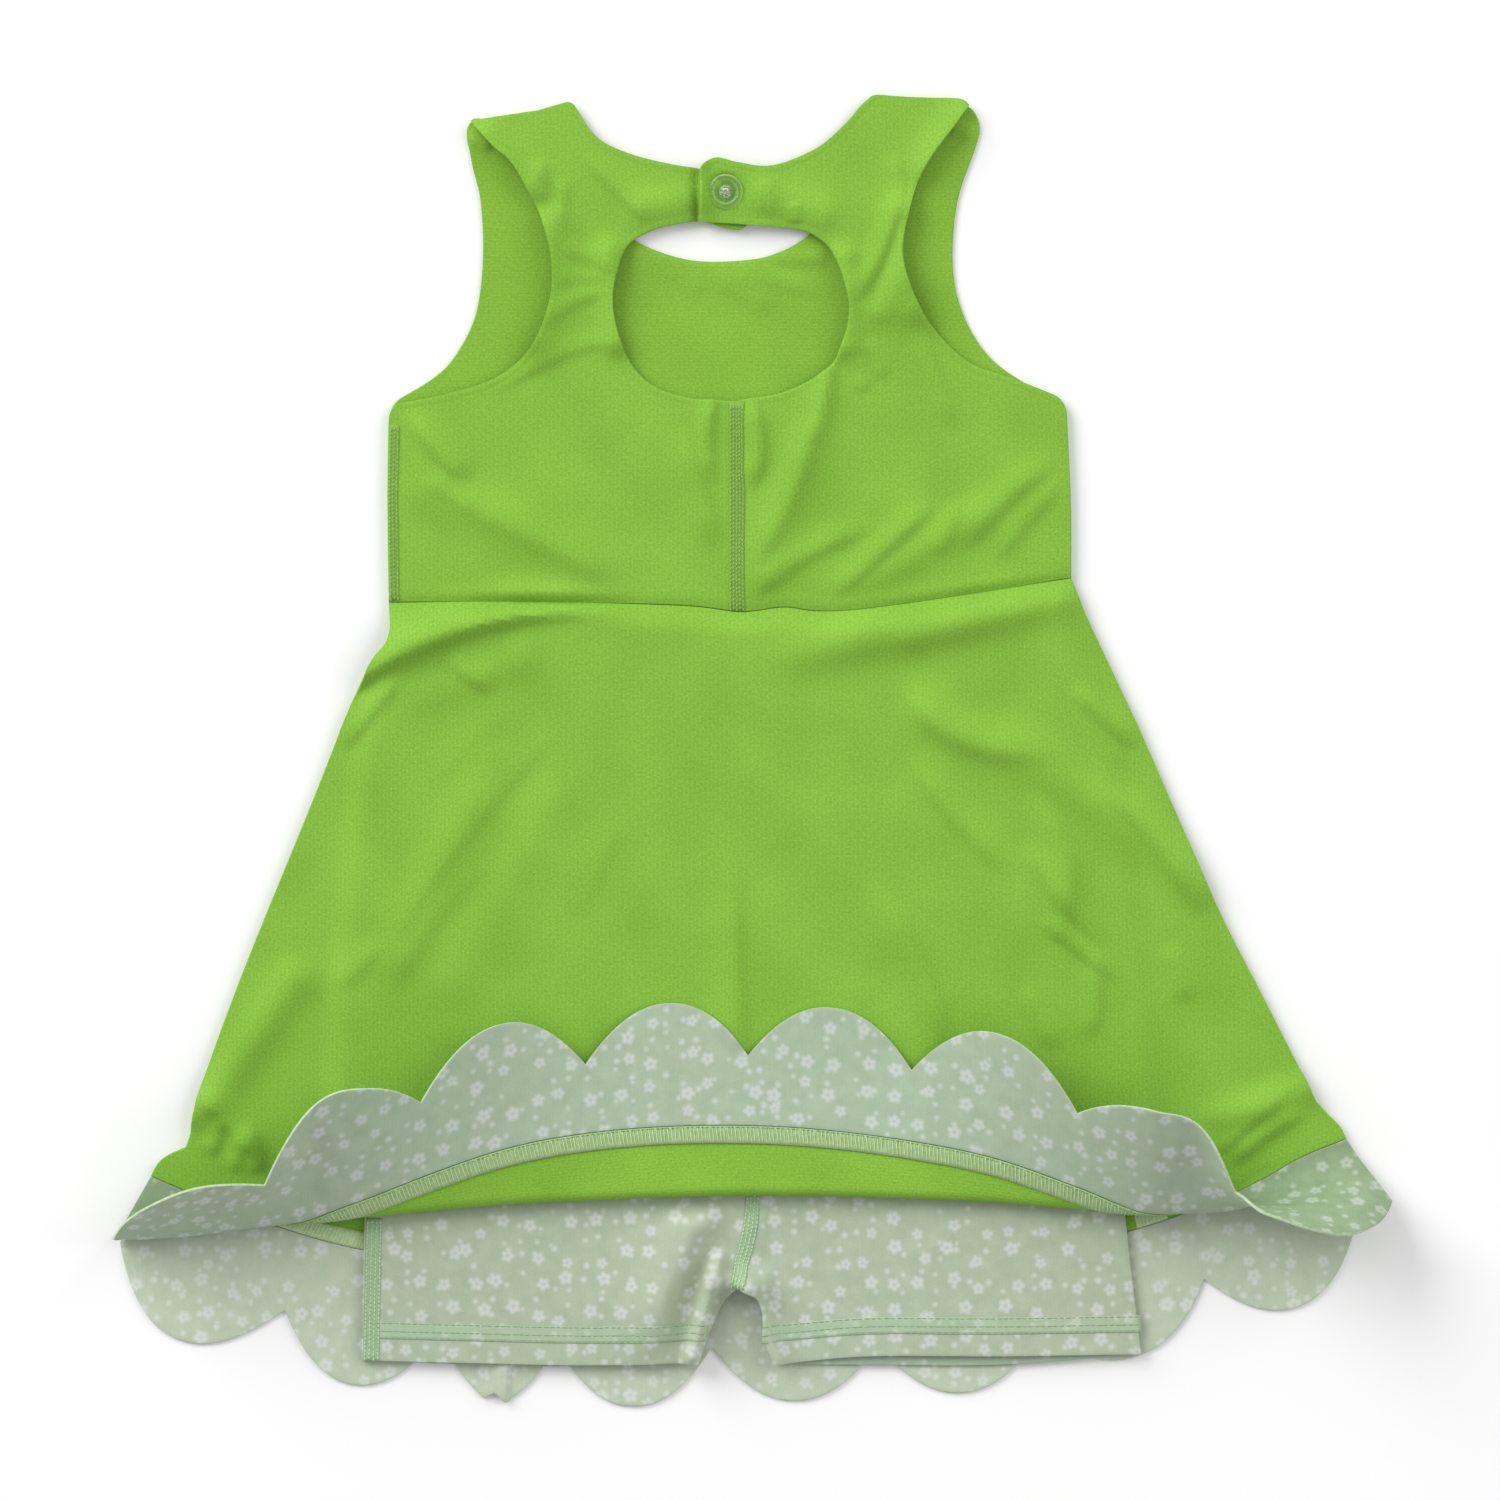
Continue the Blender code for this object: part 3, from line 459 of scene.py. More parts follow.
SWELL_WAVES = [(13.0, 29.0, 0.0), (-37.0, 17.0, 1.0), (23.0, 23.0, 2.0)]  # mm a radian in x and y, a shift


def distance_to(line, x, y):
    """How far each point is from a polyline, on which side (1 on its left), and at which share of it.

    Each point is projected on every segment, and the nearest one counts.
    """
    start, step = line[:-1, :, None], np.diff(line, axis=0)[:, :, None]
    gap = np.stack([x, y]) - start
    share = np.clip((gap * step).sum(axis=1) / (step**2).sum(axis=1), 0.0, 1.0)
    away = gap - step * share[:, None]
    distance = np.sqrt((away**2).sum(axis=1))
    nearest = distance.argmin(axis=0)[None]
    side = np.sign(step[:, 0] * gap[:, 1] - step[:, 1] * gap[:, 0])
    pick = (np.take_along_axis(values, nearest, axis=0)[0] for values in (distance, side, share))
    distance, side, share = pick
    return distance, side, (nearest[0] + share) / len(step)


def ridges(table, x, y):
    """Height that a table's ridges add: a bell across each line, fading past its ends."""
    height = np.zeros_like(x)
    for row in table:
        line = np.array([(row["x0"], row["y0"]), (row["x1"], row["y1"])])
        height += row["rise"] * bell(distance_to(line, x, y)[0], row["half"])
    return height


def creases(table, x, y):
    """Height of the creases: half a wide bell on the soft side of each curve, half a narrow one on the steep
    side, and less towards its two ends. The curve is a quadratic one through its three points."""
    height = np.zeros_like(x)
    t = np.linspace(0, 1, 13)[:, None]
    for row in table:
        start, middle, end = (np.array([row["x" + k], row["y" + k]]) for k in "0m1")
        line = (1 - t)**2 * start + 2 * t * (1 - t) * middle + t**2 * end
        distance, side, share = distance_to(line, x, y)
        from_crest = distance * side - CREST * row["steep"]
        width = np.where(from_crest > 0, row["soft"], row["steep"])
        taper = smooth_step(share / CREASE_END) * smooth_step((1 - share) / CREASE_END)
        height += row["rise"] * taper * bell(from_crest, width)
    return height


def swell(x, y):
    """Long low waves, from 0 up: three sines that cross at odd angles."""
    waves = sum(np.sin(x / across + y / up + shift) for across, up, shift in SWELL_WAVES)
    return SWELL * (waves / len(SWELL_WAVES) + 1) / 2


print(len(BACK_RIDGES), "large folds and", len(BACK_CREASES), "creases")

# %% [markdown]
# The turned-up hem. The back lies flat as far as a line, then bends round a roll and goes on straight, past
# the vertical, until it rests on the skirt. The turn, its angle and its roll change along the hem: at the
# right corner the last scallop only stands up.

# %% The back in space
TURN = np.dtype([("x", float), ("start_y", float), ("degrees", float), ("radius", float)])
HEM_TURN = np.array([
    (-249, -249, 112, 5),
    (-235, -248, 115, 5.5),
    (-215, -246, 122, 6),
    (-187, -242.4, 130, 6),
    (-165, -240.5, 147, 5.5),
    (-146, -239.4, 151, 5),
    (-125, -237.8, 162, 4.6),
    (-92, -235.6, 174, 4),
    (-60, -234.4, 180, 3.6),
    (5, -232.5, 183, 3.4),
    (70, -233.8, 182, 3.4),
    (100, -234.8, 173, 3.6),
    (136, -236.7, 160, 4.5),
    (167, -237.9, 146, 5.5),
    (190, -236.8, 138, 6),
    (199, -235.5, 112, 6.5),
    (206, -230, 90, 10),
    (217, -226, 80, 14),
    (238, -218, 63, 20),
    (256, -217, 52, 25),
    (262, -222, 45, 25),
], dtype=TURN)
FOLDED_OVER = 120.0  # past this turn the hem can come to rest on the skirt under it
TURN_MARGIN = 1.0  # the large folds have died out this far above the turn's highest start
NORMAL_STEP = 0.2  # millimetres between the places that give a normal


def along(column, x):
    """A column of the hem's table, read softly at any x, as a cubic between its rows."""
    knots, values = HEM_TURN["x"], HEM_TURN[column]
    slopes = np.gradient(values, knots)
    x = np.clip(x, knots[0], knots[-1])
    i = np.clip(np.searchsorted(knots, x) - 1, 0, len(knots) - 2)
    width = knots[i + 1] - knots[i]
    t = (x - knots[i]) / width
    return ((1 + 2 * t) * (1 - t)**2 * values[i] + t * (1 - t)**2 * width * slopes[i]
            + t**2 * (3 - 2 * t) * values[i + 1] + t**2 * (t - 1) * width * slopes[i + 1])


def back_height(x, y):
    """Underside of the back layer: over the shorts, with its folds, which die out at the waist and the turn.

    Beside the waist seam it stands up by a bell, so the seam lies in a groove.
    """
    at_waist, at_turn = np.abs(from_waist(x, y)), y - HEM_TURN["start_y"].max() - TURN_MARGIN
    fade = smooth_step(at_waist / FOLD_FADE) * smooth_step(at_turn / FOLD_FADE)
    crease_fade = smooth_step(at_waist / CREASE_FADE) * smooth_step((y - along("start_y", x)) / CREASE_FADE)
    large = ridges(BACK_RIDGES, x, y) * fade
    puff = SEAM_PUFF * (1 - bell(at_waist, SEAM_PUFF_WIDTH))
    return over_shorts(x, y) + puff + large + (creases(BACK_CREASES, x, y) + swell(x, y)) * crease_fade


def turned_back(x, y):
    """The back in space: flat as far as the hem's turn, then round its roll and on.

    Past the turn's start the cloth bends up with the roll's radius until it has turned by its angle,
    and goes on straight. Where it would sink into the skirt that it folds over, it rests on it.
    """
    start, angle, radius = along("start_y", x), np.radians(along("degrees", x)), along("radius", x)
    past = np.maximum(start - y, 0.0)
    bent = np.minimum(past / radius, angle)
    straight = np.maximum(past - radius * angle, 0.0)
    flat_y = np.maximum(y, start)
    plan_y = flat_y - radius * np.sin(bent) - straight * np.cos(angle)
    z = back_height(x, flat_y) + radius * (1.0 - np.cos(bent)) + straight * np.sin(angle)
    resting = back_height(x, plan_y) + 2 * CLOTH + 2 * GAP
    z = np.where(bent > math.radians(FOLDED_OVER), np.maximum(z, resting), z)
    return x, plan_y, z


def raised(lay, lift):
    """The same lay, moved off its underside by lift along the normal, which is the cross product of a
    small step in x and one in y. A negative lift is on the cloth's wrong side."""
    def at(x, y):
        place = np.stack(lay(x, y))
        across, up = np.stack(lay(x + NORMAL_STEP, y)) - place, np.stack(lay(x, y + NORMAL_STEP)) - place
        normal = np.cross(across, up, axis=0)
        return place + lift * normal / np.linalg.norm(normal, axis=0)
    return at


print("the hem's roll is", HEM_TURN["radius"].min(), "to", HEM_TURN["radius"].max(), "mm in radius")

# %% [markdown]
# From formula to cloth. A piece is a grid of two numbers, u along its outer edge and v inwards. One function
# gives the place on the cutting table, a second lays that place in space, and the table place is kept as a UV
# map in metres, so the knit and the print follow the cloth where it turns over. Solidify gives the grid its
# wall, with one material for each side and one for the edge, and Bevel rounds the edge.


# %% A cut piece of cloth
def grid_faces(rows, columns):
    """Corner numbers of the squares between rows x columns points, counter-clockwise seen from above."""
    first = (np.arange(rows - 1)[:, None] * columns + np.arange(columns - 1)).reshape(-1, 1)
    return first + np.array([0, 1, columns + 1, columns])


def add_mesh(name, points, faces, finishes):
    """An object at the origin from points in dress millimetres."""
    mesh = bpy.data.meshes.new(name)
    mesh.from_pydata(((points - CENTRE) * MM).tolist(), [], faces)
    mesh.shade_smooth()
    for finish in finishes:
        mesh.materials.append(finish)
    return add_object(name, mesh)


def cut_cloth(name, u, v, flat, lay, wall, finishes, rounding=0.25):
    """A piece of cloth: its grid, its table places as the UV map, its wall and its rounded edge.

    finishes are the materials of its upper side, its lower side and its cut edge.
    """
    across, inwards = (values.ravel() for values in np.meshgrid(u, v))
    x, y = flat(across, inwards)
    faces = grid_faces(len(v), len(u))
    piece = add_mesh(name, np.stack(lay(x, y), axis=-1), faces.tolist(), finishes)
    corner = np.zeros(len(piece.data.loops), dtype=np.int32)
    piece.data.loops.foreach_get("vertex_index", corner)
    places = np.stack([x, y], axis=-1)[corner] * MM
    piece.data.uv_layers.new(name="cut").data.foreach_set("uv", places.ravel())
    solidify = piece.modifiers.new("wall", "SOLIDIFY")
    solidify.thickness = wall * MM
    solidify.offset = 1.0
    solidify.material_offset = 1
    solidify.material_offset_rim = 2
    if rounding:
        bevel = piece.modifiers.new("rounded edge", "BEVEL")
        bevel.offset_type = "ABSOLUTE"
        bevel.width = rounding * MM
        bevel.segments = 2
        bevel.limit_method = "ANGLE"
        bevel.angle_limit = math.radians(50)
        bevel.use_clamp_overlap = False
    return piece


def ruled(outer, inner, bends=None):
    """Flat panel between two edges with as many points each: v is 0 on the outer, 1 on the inner.

    The ribs between them are straight, or bent towards a third place, as a quadratic curve. bends is a table
    of that place's share of the columns, x and y, which keeps the ribs inside a hollow outline.
    """
    def flat(u, v):
        column = np.linspace(0, 1, len(outer))
        first, second = (np.stack([np.interp(u, column, e[:, k]) for k in (0, 1)]) for e in (outer, inner))
        if bends is None:
            return first + (second - first) * v
        third = np.stack([np.interp(u, bends[:, 0], bends[:, k]) for k in (1, 2)])
        return (1 - v)**2 * first + 2 * v * (1 - v) * third + v**2 * second
    return flat


def four_sided(bottom, top, left, right):
    """Flat panel inside four curves, blended as a Coons patch: the mix of bottom and top, plus the mix of
    left and right, less the mix of the corners."""
    def flat(u, v):
        low, high, near, far = bottom(u).T, top(u).T, left(v).T, right(v).T
        corners = [curve(np.array([end]))[0][:, None] for curve in (bottom, top) for end in (0.0, 1.0)]
        blend = ((1 - u) * (1 - v) * corners[0] + u * (1 - v) * corners[1]
                 + (1 - u) * v * corners[2] + u * v * corners[3])
        return (1 - v) * low + v * high + (1 - u) * near + u * far - blend
    return flat


def chain(stretches, counts):
    """Points along several stretches end to end, each cut into its count of columns.

    A stretch is a list of points, or a smooth curve with the shares where it starts and ends.
    """
    runs = []
    for stretch, count in zip(stretches, counts):
        curve, start, end = stretch if isinstance(stretch, tuple) else (smooth_curve(stretch), 0.0, 1.0)
        runs.append(curve(np.linspace(start, end, count + 1)))
    return np.vstack([run[:-1] for run in runs[:-1]] + [runs[-1]])


def shares(stops, counts):
    """Shares of an edge that step evenly from each stop to the next, in as many steps as its count."""
    spans = zip(stops, stops[1:], counts)
    steps = [np.linspace(start, end, count, endpoint=False) for start, end, count in spans]
    return np.concatenate(steps + [[stops[-1]]])


# %% [markdown]
# Green jersey. The dress is a polyester and elastane single jersey, knitted on a circular machine: its right
# side shows fine upright ribs, the wales, and its wrong side short rows. It is matt with a faint bloom of
# light at grazing angles. The real wales are about 0.6 mm apart, too fine to show in the picture, so they are
# drawn 1.6 mm apart and faint. Slow mottling keeps the colour from looking painted.

# %% Green jersey
WALE = 0.0016  # metres from rib to rib, drawn coarser than the real 0.6 mm so that it shows
COURSE = 0.0013  # metres from row to row, drawn coarser for the same reason
GRAIN = 0.0009  # metres across a grain of the yarn's fuzz
MOTTLE = 0.030  # slow patches, about 30 mm wide
RIB_SHADE = 0.05  # how far the ribs move the shade, where the fuzz moves it by 1
MOTTLE_SHADE = 0.4  # and the slow patches
JERSEY_SHADES = (0.35, 1.05)  # the sums of these that get the deep shade and the pale one
KNIT_RELIEF = 0.00006  # metres that the fuzz stands up; the ribs are a tenth of it
RELIEF_STRENGTH = 0.6
KNIT_ROUGHNESS, KNIT_SHINE = 0.75, 0.18
BLOOM, BLOOM_ROUGHNESS = 0.05, 0.4


def knit(tree, spacing, direction):
    """Ribs across one direction of the cut cloth: a sine of the place, roughened by a fine noise."""
    cut = node(tree, "UVMap", uv_map="cut").outputs["UV"]
    place = node(tree, "SeparateXYZ", {0: cut}).outputs[direction]
    turns = node(tree, "Math", {0: place, 1: 2 * math.pi / spacing}, operation="MULTIPLY").outputs[0]
    ribs = node(tree, "Math", {0: turns}, operation="SINE").outputs[0]
    fuzz = node(tree, "TexNoise", {"Vector": cut, "Scale": 1 / GRAIN, "Detail": 2.0}).outputs["Fac"]
    return cut, node(tree, "Math", {0: ribs, 1: RIB_SHADE, 2: fuzz}, operation="MULTIPLY_ADD").outputs[0]


def finish_knit(tree, shader, colour, ribs):
    """Give a knit's shader its colour, its ribs and fuzz as relief, a dull surface and a faint bloom."""
    relief = node(tree, "Bump", {"Height": ribs, "Distance": KNIT_RELIEF, "Strength": RELIEF_STRENGTH})
    tree.links.new(colour, shader.inputs["Base Color"])
    tree.links.new(relief.outputs[0], shader.inputs["Normal"])
    shader.inputs["Specular IOR Level"].default_value = KNIT_SHINE
    shader.inputs["Sheen Weight"].default_value = BLOOM
    shader.inputs["Sheen Roughness"].default_value = BLOOM_ROUGHNESS


def jersey(name, deep, pale, spacing, direction):
    """Plain knit: two shades mixed by ribs, fuzz and slow mottling, with ribs and fuzz as relief."""
    finish, tree, shader = start_material(name, KNIT_ROUGHNESS)
    cut, ribs = knit(tree, spacing, direction)
    patches = node(tree, "TexNoise", {"Vector": cut, "Scale": 1 / MOTTLE, "Detail": 1.0}).outputs["Fac"]
    shade = node(tree, "Math", {0: patches, 1: MOTTLE_SHADE, 2: ribs}, operation="MULTIPLY_ADD").outputs[0]
    finish_knit(tree, shader, two_shades(tree, shade, *JERSEY_SHADES, deep, pale), ribs)
    return finish


green_right = jersey("green jersey, right side", "6B9B2C", "8BBD44", WALE, "X")
green_wrong = jersey("green jersey, wrong side", "6A9A2A", "8CBC42", COURSE, "Y")
green_edge = jersey("green jersey, turned edge", "6E9E2F", "7EAE3C", WALE, "X")
print("wales", WALE / MM, "mm, rows", round(COURSE / MM, 1), "mm")

# %% [markdown]
# Sage print. The real band and shorts carry a small all-over print whose motif may be its maker's own, so a
# plain ditsy pattern of the same colours and scale takes its place: small blossoms of five petals, scattered
# one to a cell, with dots between them. A Voronoi texture gives each cell its middle and random numbers. The
# distance and angle from that middle draw the petals, and two of the numbers turn and size each blossom.

# %% Sage print
BLOSSOM_CELL, BLOSSOM_SCATTER = 0.0120, 0.7  # metres from one blossom to the next, and how unevenly
BLOSSOM_RADII = (0.002025, 0.00297)
PETALS, PETAL_NOTCH = 5, 0.68  # a notch between two petals lies at this share of the radius
BLOSSOM_CENTRE = 0.16  # the bare centre, as a share too
DOT_CELL, DOT_SCATTER = 0.0064, 0.9
DOT_RADII = (0.0006, 0.00115)
DOTS_KEPT = 0.5  # share of the cells that have a dot
PRINT_SOFTNESS = 0.0011  # how far the ink bleeds into the knit
CLOUD, DRIFT = 0.007, 0.045  # the ground has small clouds, and drifts slowly between beige and mint
MINT, BEIGE = "F6FFF8", "FFFAF4"
PRINT_RIBS, PRINT_SHADES = 0.5, (0.35, 1.15)  # the knit beside the clouds, and the sums of both as above


def scattered(tree, cut, cell, randomness):
    """For each cell of a scatter: the way from its middle, the distance to it, and three random numbers."""
    cells = node(tree, "TexVoronoi", {"Vector": cut, "Scale": 1 / cell, "Randomness": randomness},
                 voronoi_dimensions="2D")
    away = node(tree, "VectorMath", {0: cut, 1: cells.outputs["Position"]}, operation="SUBTRACT").outputs[0]
    distance = node(tree, "VectorMath", {0: away}, operation="LENGTH").outputs["Value"]
    return away, distance, node(tree, "SeparateColor", {0: cells.outputs["Color"]}).outputs


def inked(tree, distance, radius):
    """1 inside the radius and 0 outside it, with a soft rim."""
    inside = node(tree, "Math", {0: radius, 1: distance}, operation="SUBTRACT").outputs[0]
    rim = {"Value": inside, "From Min": -PRINT_SOFTNESS, "From Max": PRINT_SOFTNESS}
    return node(tree, "MapRange", rim, interpolation_type="SMOOTHSTEP").outputs[0]


def blossoms(tree, cut):
    """Ink of the blossoms: petals, by the cosine of half their number times the angle, less a centre."""
    away, distance, chance = scattered(tree, cut, BLOSSOM_CELL, BLOSSOM_SCATTER)
    way = node(tree, "SeparateXYZ", {0: away}).outputs
    angle = node(tree, "Math", {0: way["Y"], 1: way["X"]}, operation="ARCTAN2").outputs[0]
    turn = node(tree, "Math", {0: chance[0], 1: 2 * math.pi, 2: angle}, operation="MULTIPLY_ADD").outputs[0]
    lobes = node(tree, "Math", {0: turn, 1: PETALS / 2}, operation="MULTIPLY").outputs[0]
    for operation in ("COSINE", "ABSOLUTE"):
        lobes = node(tree, "Math", {0: lobes}, operation=operation).outputs[0]
    shape = node(tree, "MapRange", {"Value": lobes, "To Min": PETAL_NOTCH}).outputs[0]
    smallest, largest = BLOSSOM_RADII
    size = node(tree, "MapRange", {"Value": chance[1], "To Min": smallest, "To Max": largest}).outputs[0]
    radius = node(tree, "Math", {0: shape, 1: size}, operation="MULTIPLY").outputs[0]
    centre = node(tree, "Math", {0: size, 1: BLOSSOM_CENTRE}, operation="MULTIPLY").outputs[0]
    petal_ink, centre_ink = inked(tree, distance, radius), inked(tree, distance, centre)
    ring = node(tree, "Math", {0: 1.0, 1: centre_ink}, operation="SUBTRACT").outputs[0]
    return node(tree, "Math", {0: petal_ink, 1: ring}, operation="MULTIPLY").outputs[0]


def dots(tree, cut):
    """Ink of the dots: round, and only in the cells whose random number is above a limit."""
    _, distance, chance = scattered(tree, cut, DOT_CELL, DOT_SCATTER)
    kept = node(tree, "Math", {0: chance[0], 1: 1 - DOTS_KEPT}, operation="GREATER_THAN").outputs[0]
    smallest, largest = DOT_RADII
    size = node(tree, "MapRange", {"Value": chance[1], "To Min": smallest, "To Max": largest}).outputs[0]
    return node(tree, "Math", {0: inked(tree, distance, size), 1: kept}, operation="MULTIPLY").outputs[0]


def printed(name, deep, pale, ink, strength):
    """Printed jersey: a mottled ground, and the blossoms and dots laid over it."""
    finish, tree, shader = start_material(name, KNIT_ROUGHNESS)
    cut, ribs = knit(tree, WALE, "X")
    clouds = node(tree, "TexNoise", {"Vector": cut, "Scale": 1 / CLOUD, "Detail": 3.0}).outputs["Fac"]
    shade = node(tree, "Math", {0: ribs, 1: PRINT_RIBS, 2: clouds}, operation="MULTIPLY_ADD").outputs[0]
    plain = two_shades(tree, shade, *PRINT_SHADES, deep, pale)
    drift = node(tree, "TexNoise", {"Vector": cut, "Scale": 1 / DRIFT, "Detail": 1.0}).outputs["Fac"]
    tinted = {0: 1.0, 6: plain, 7: two_shades(tree, drift, 0.0, 1.0, MINT, BEIGE)}
    ground = node(tree, "Mix", tinted, data_type="RGBA", blend_type="MULTIPLY").outputs[2]
    flowers, specks = blossoms(tree, cut), dots(tree, cut)
    both = node(tree, "Math", {0: flowers, 1: specks}, operation="MAXIMUM").outputs[0]
    amount = node(tree, "Math", {0: both, 1: strength}, operation="MULTIPLY").outputs[0]
    colour = node(tree, "Mix", {0: amount, 6: ground, 7: linear(ink)}, data_type="RGBA").outputs[2]
    finish_knit(tree, shader, colour, ribs)
    return finish


# the band's right side is painted darker than the shorts' print: painted shade, for its shaded corners
print_right_painted_shade = printed("sage print, right side, painted darker as shade", "7D9272", "93A789", "BCC6BA", 0.58)
print_wrong = printed("sage print, wrong side", "98AA95", "ABBAA6", "CCD2CF", 0.60)
# the front band is paler partly because the white table shows through it, and partly by painted light that
# undoes the flap's shadow
print_front_painted_light = printed("sage print, front band, painted paler", "AEBBA8", "C1CABA", "D6DBD7", 0.60)
print_shorts = printed("sage print of the shorts", "9FAD98", "B3BEAB", "D0D5D1", 0.64)
print_hem = printed("sage print between the hem's rows", "9FB298", "B0C1AB", "CCD5C8", 0.5)
print("blossoms", [round(2 * radius / MM, 1) for radius in BLOSSOM_RADII], "mm across")

# %% [markdown]
# Cut edge. The scallops are cut raw, by laser or blade, so their edge shows the pale core of the knit as a
# light line about a millimetre wide. The sewing yarns are matt, each in two close shades with a soft bloom.

# %% Threads and cut edges
YARN_ROUGHNESS, YARN_SHINE, YARN_BLOOM = 0.6, 0.35, 0.2
YARN_SHADES = (0.3, 0.7)


def plain_yarn(name, deep, pale, grain=0.0012):
    """Yarn in two close shades, mixed by a fine noise on object coordinates."""
    finish, tree, shader = start_material(name, YARN_ROUGHNESS)
    place = node(tree, "TexCoord").outputs["Object"]
    noise = node(tree, "TexNoise", {"Vector": place, "Scale": 1 / grain, "Detail": 2.0}).outputs["Fac"]
    tree.links.new(two_shades(tree, noise, *YARN_SHADES, deep, pale), shader.inputs["Base Color"])
    shader.inputs["Specular IOR Level"].default_value = YARN_SHINE
    shader.inputs["Sheen Weight"].default_value = YARN_BLOOM
    return finish


cut_edge = plain_yarn("raw cut edge of the print", "9DB18F", "B3C6A6", grain=0.0015)
overlock_yarn = plain_yarn("overlock yarn, pale green", "A8C182", "C2D6A2")
overlock_ground = plain_yarn("overlocked allowance", "8EAB72", "A2BC8A", grain=0.002)
# the front stretches are lit copies of the overlock: painted light against the shade of the flap above them
front_overlock_yarn_painted_light = plain_yarn("overlock yarn in front, painted lighter", "C2D8A4", "D8E8BE")
front_overlock_ground_painted_light = plain_yarn("overlocked allowance in front, painted lighter", "A6C08A", "B8D0A0", grain=0.002)
flatlock_yarn = plain_yarn("flatlock yarn, green", "7CAA3C", "8CBA4C", grain=0.0010)
flatlock_ground = plain_yarn("flatlock ground", "6E9B34", "7AA63E", grain=0.0015)
shorts_yarn = plain_yarn("seam yarn of the shorts", "AECBA2", "C2DAB4")
shorts_ground = plain_yarn("seam ground of the shorts", "8EAB84", "9EB994", grain=0.0015)
needle_yarn = plain_yarn("needle yarn, darker green", "74935F", "86A471")
hem_yarn = plain_yarn("needle yarn of the shorts' hems", "8BAA7C", "9BB88C")
print("raw edge", [round(c, 2) for c in linear("B3C6A6")[:3]])

# %% [markdown]
# The bodice. Its front is one panel with wide straps. The back is two panels that meet at the centre seam
# below the keyhole. Above it the right one's neckband ends in a tab that laps over the left one. Armholes,
# neck and keyhole are turned and understitched, which leaves a soft welt along the edge.

# %% Bodice
FINE = 7
BODICE_ROWS, FRONT_ROWS = (100), 50
EDGE_ROWS = 0.3  # share by which the rows crowd towards both edges, where the welts are
SEAM_GAP = 0.2  # the seams are closed, but for a fine groove
WAIST_GROOVE = 0.6  # the back's waist seam is pulled a little open, which shows as its dark line
FRONT_WAIST_DROP = 1.5  # the front's waist seam lies lower, so green cloth shows in that groove
TAB_RISE = CLOTH + GAP + 0.5  # over the cloth that it laps on
TAB_END, TAB_END_LIFT, TAB_END_WIDTH = -14.2, 2.6, 2.6
TAB_GROOVE, TAB_GROOVE_AT, TAB_GROOVE_WIDTH = 1.3, -15.2, 1.2  # the cloth under it dips at its end
TAB_X, TAB_Y = (24.0, 10.0), (146.0, 149.0)  # the tab rises between these, going left and going up
WELT_HEIGHT, WELT_IN, WELT_WIDTH = 0.11, 1.2, 1.0  # the bump's top is 1.2 mm inside the edge
UNDERSTITCH, UNDERSTITCH_IN, UNDERSTITCH_WIDTH = 0.04, 2.8, 0.5
BENDS_LEFT = np.array([
    # share of the columns, and the place that the ribs bend towards
    (0, 4.7, 163), (0.04, -10, 163), (0.083, -28, 165), (0.11, -45, 168), (0.14, -58, 172),
    (0.1667, -68, 176), (0.2222, -78, 178), (0.2778, -87, 185.5), (0.303, -85, 182), (0.328, -79, 176),
    (0.376, -68, 155), (0.419, -61, 131), (0.454, -61.6, 116.2), (0.489, -65, 106), (0.523, -84, 84),
    (0.569, -95, 70), (0.611, -112, 64), (0.68, -100, 52), (0.75, -86, 45), (1, 0, 40)])
BENDS_RIGHT = np.array([
    (0, 0, 40), (0.2308, 88, 48), (0.295, 96, 56), (0.359, 106, 66), (0.397, 92, 74), (0.44, 79, 88),
    (0.482, 64, 108), (0.52, 57, 127), (0.552, 56, 146), (0.599, 62, 172), (0.65, 76, 188),
    (0.6667, 76, 192), (0.718, 68, 182), (0.7692, 60, 182), (0.81, 44, 172), (0.85, 28, 168), (0.9, 10, 164),
    (1, -14.2, 163)])
BENDS_FRONT = np.array([
    (0, -86, 197), (0.10, -78, 153), (0.15, -77, 131), (0.2, -82, 106), (0.238, -92, 92), (0.333, -92, 62),
    (0.5, -4, 66), (0.667, 88, 64), (0.762, 86, 92), (0.80, 70, 106), (0.84, 66, 124), (0.90, 64, 153),
    (1, 74, 202)])
KEYHOLE_LEFT_SHARES = (0.0, 0.30, 0.39, 0.68, 0.76, 1.0)
KEYHOLE_RIGHT_SHARES = (0.0, 0.25, 0.33, 0.62, 0.70, 1.0)
NECK_FRONT_SHARES = (0.0, 0.42, 0.46, 0.53, 0.57, 1.0)
FRONT_CREASES = np.array([
    (11, 136.6, 26, 136, 39, 137, 4, 2.6, 1.1),
    (-12, 131, 3, 122, 14, 114, 7, 5, 1.2),
    (-40, 142, -22, 128, -14, 120, 7, 5, 0.9),
    (-2, 131, 14, 128, 38, 122, 5, 3, 0.9),
    (84, 190, 90, 189, 97, 186, 3, 2.4, 1.6),
    (-108, 186.5, -103, 184, -98, 181, 3, 2.4, 1.6),
    (-92, -326, -91, -308, -90, -288, 5, 1.4, 2.2),  # in the creased scallop
], dtype=CREASE)
SNAP_MIDDLE = (-3.8, 165.2)
SEAT_DEPTH, SEAT_RADIUS, SEAT_SLOPE = 0.8, 6.9, 2.0  # the snap pulls the cloth down round its rim
CENTRE_SEAM_TOP = 100.0  # the two backs' edges at x = 0 meet in the centre seam below this height


def welts(edges, x, y):
    """Height of the turned edges: a low bell just inside each, and a dip along the understitching."""
    lines = [smooth_curve(edge)(np.linspace(0, 1, 60)) for edge in edges]
    near = np.min([distance_to(line, x, y)[0] for line in lines], axis=0)
    bump = WELT_HEIGHT * bell(near - WELT_IN, WELT_WIDTH)
    return bump - UNDERSTITCH * bell(near - UNDERSTITCH_IN, UNDERSTITCH_WIDTH)


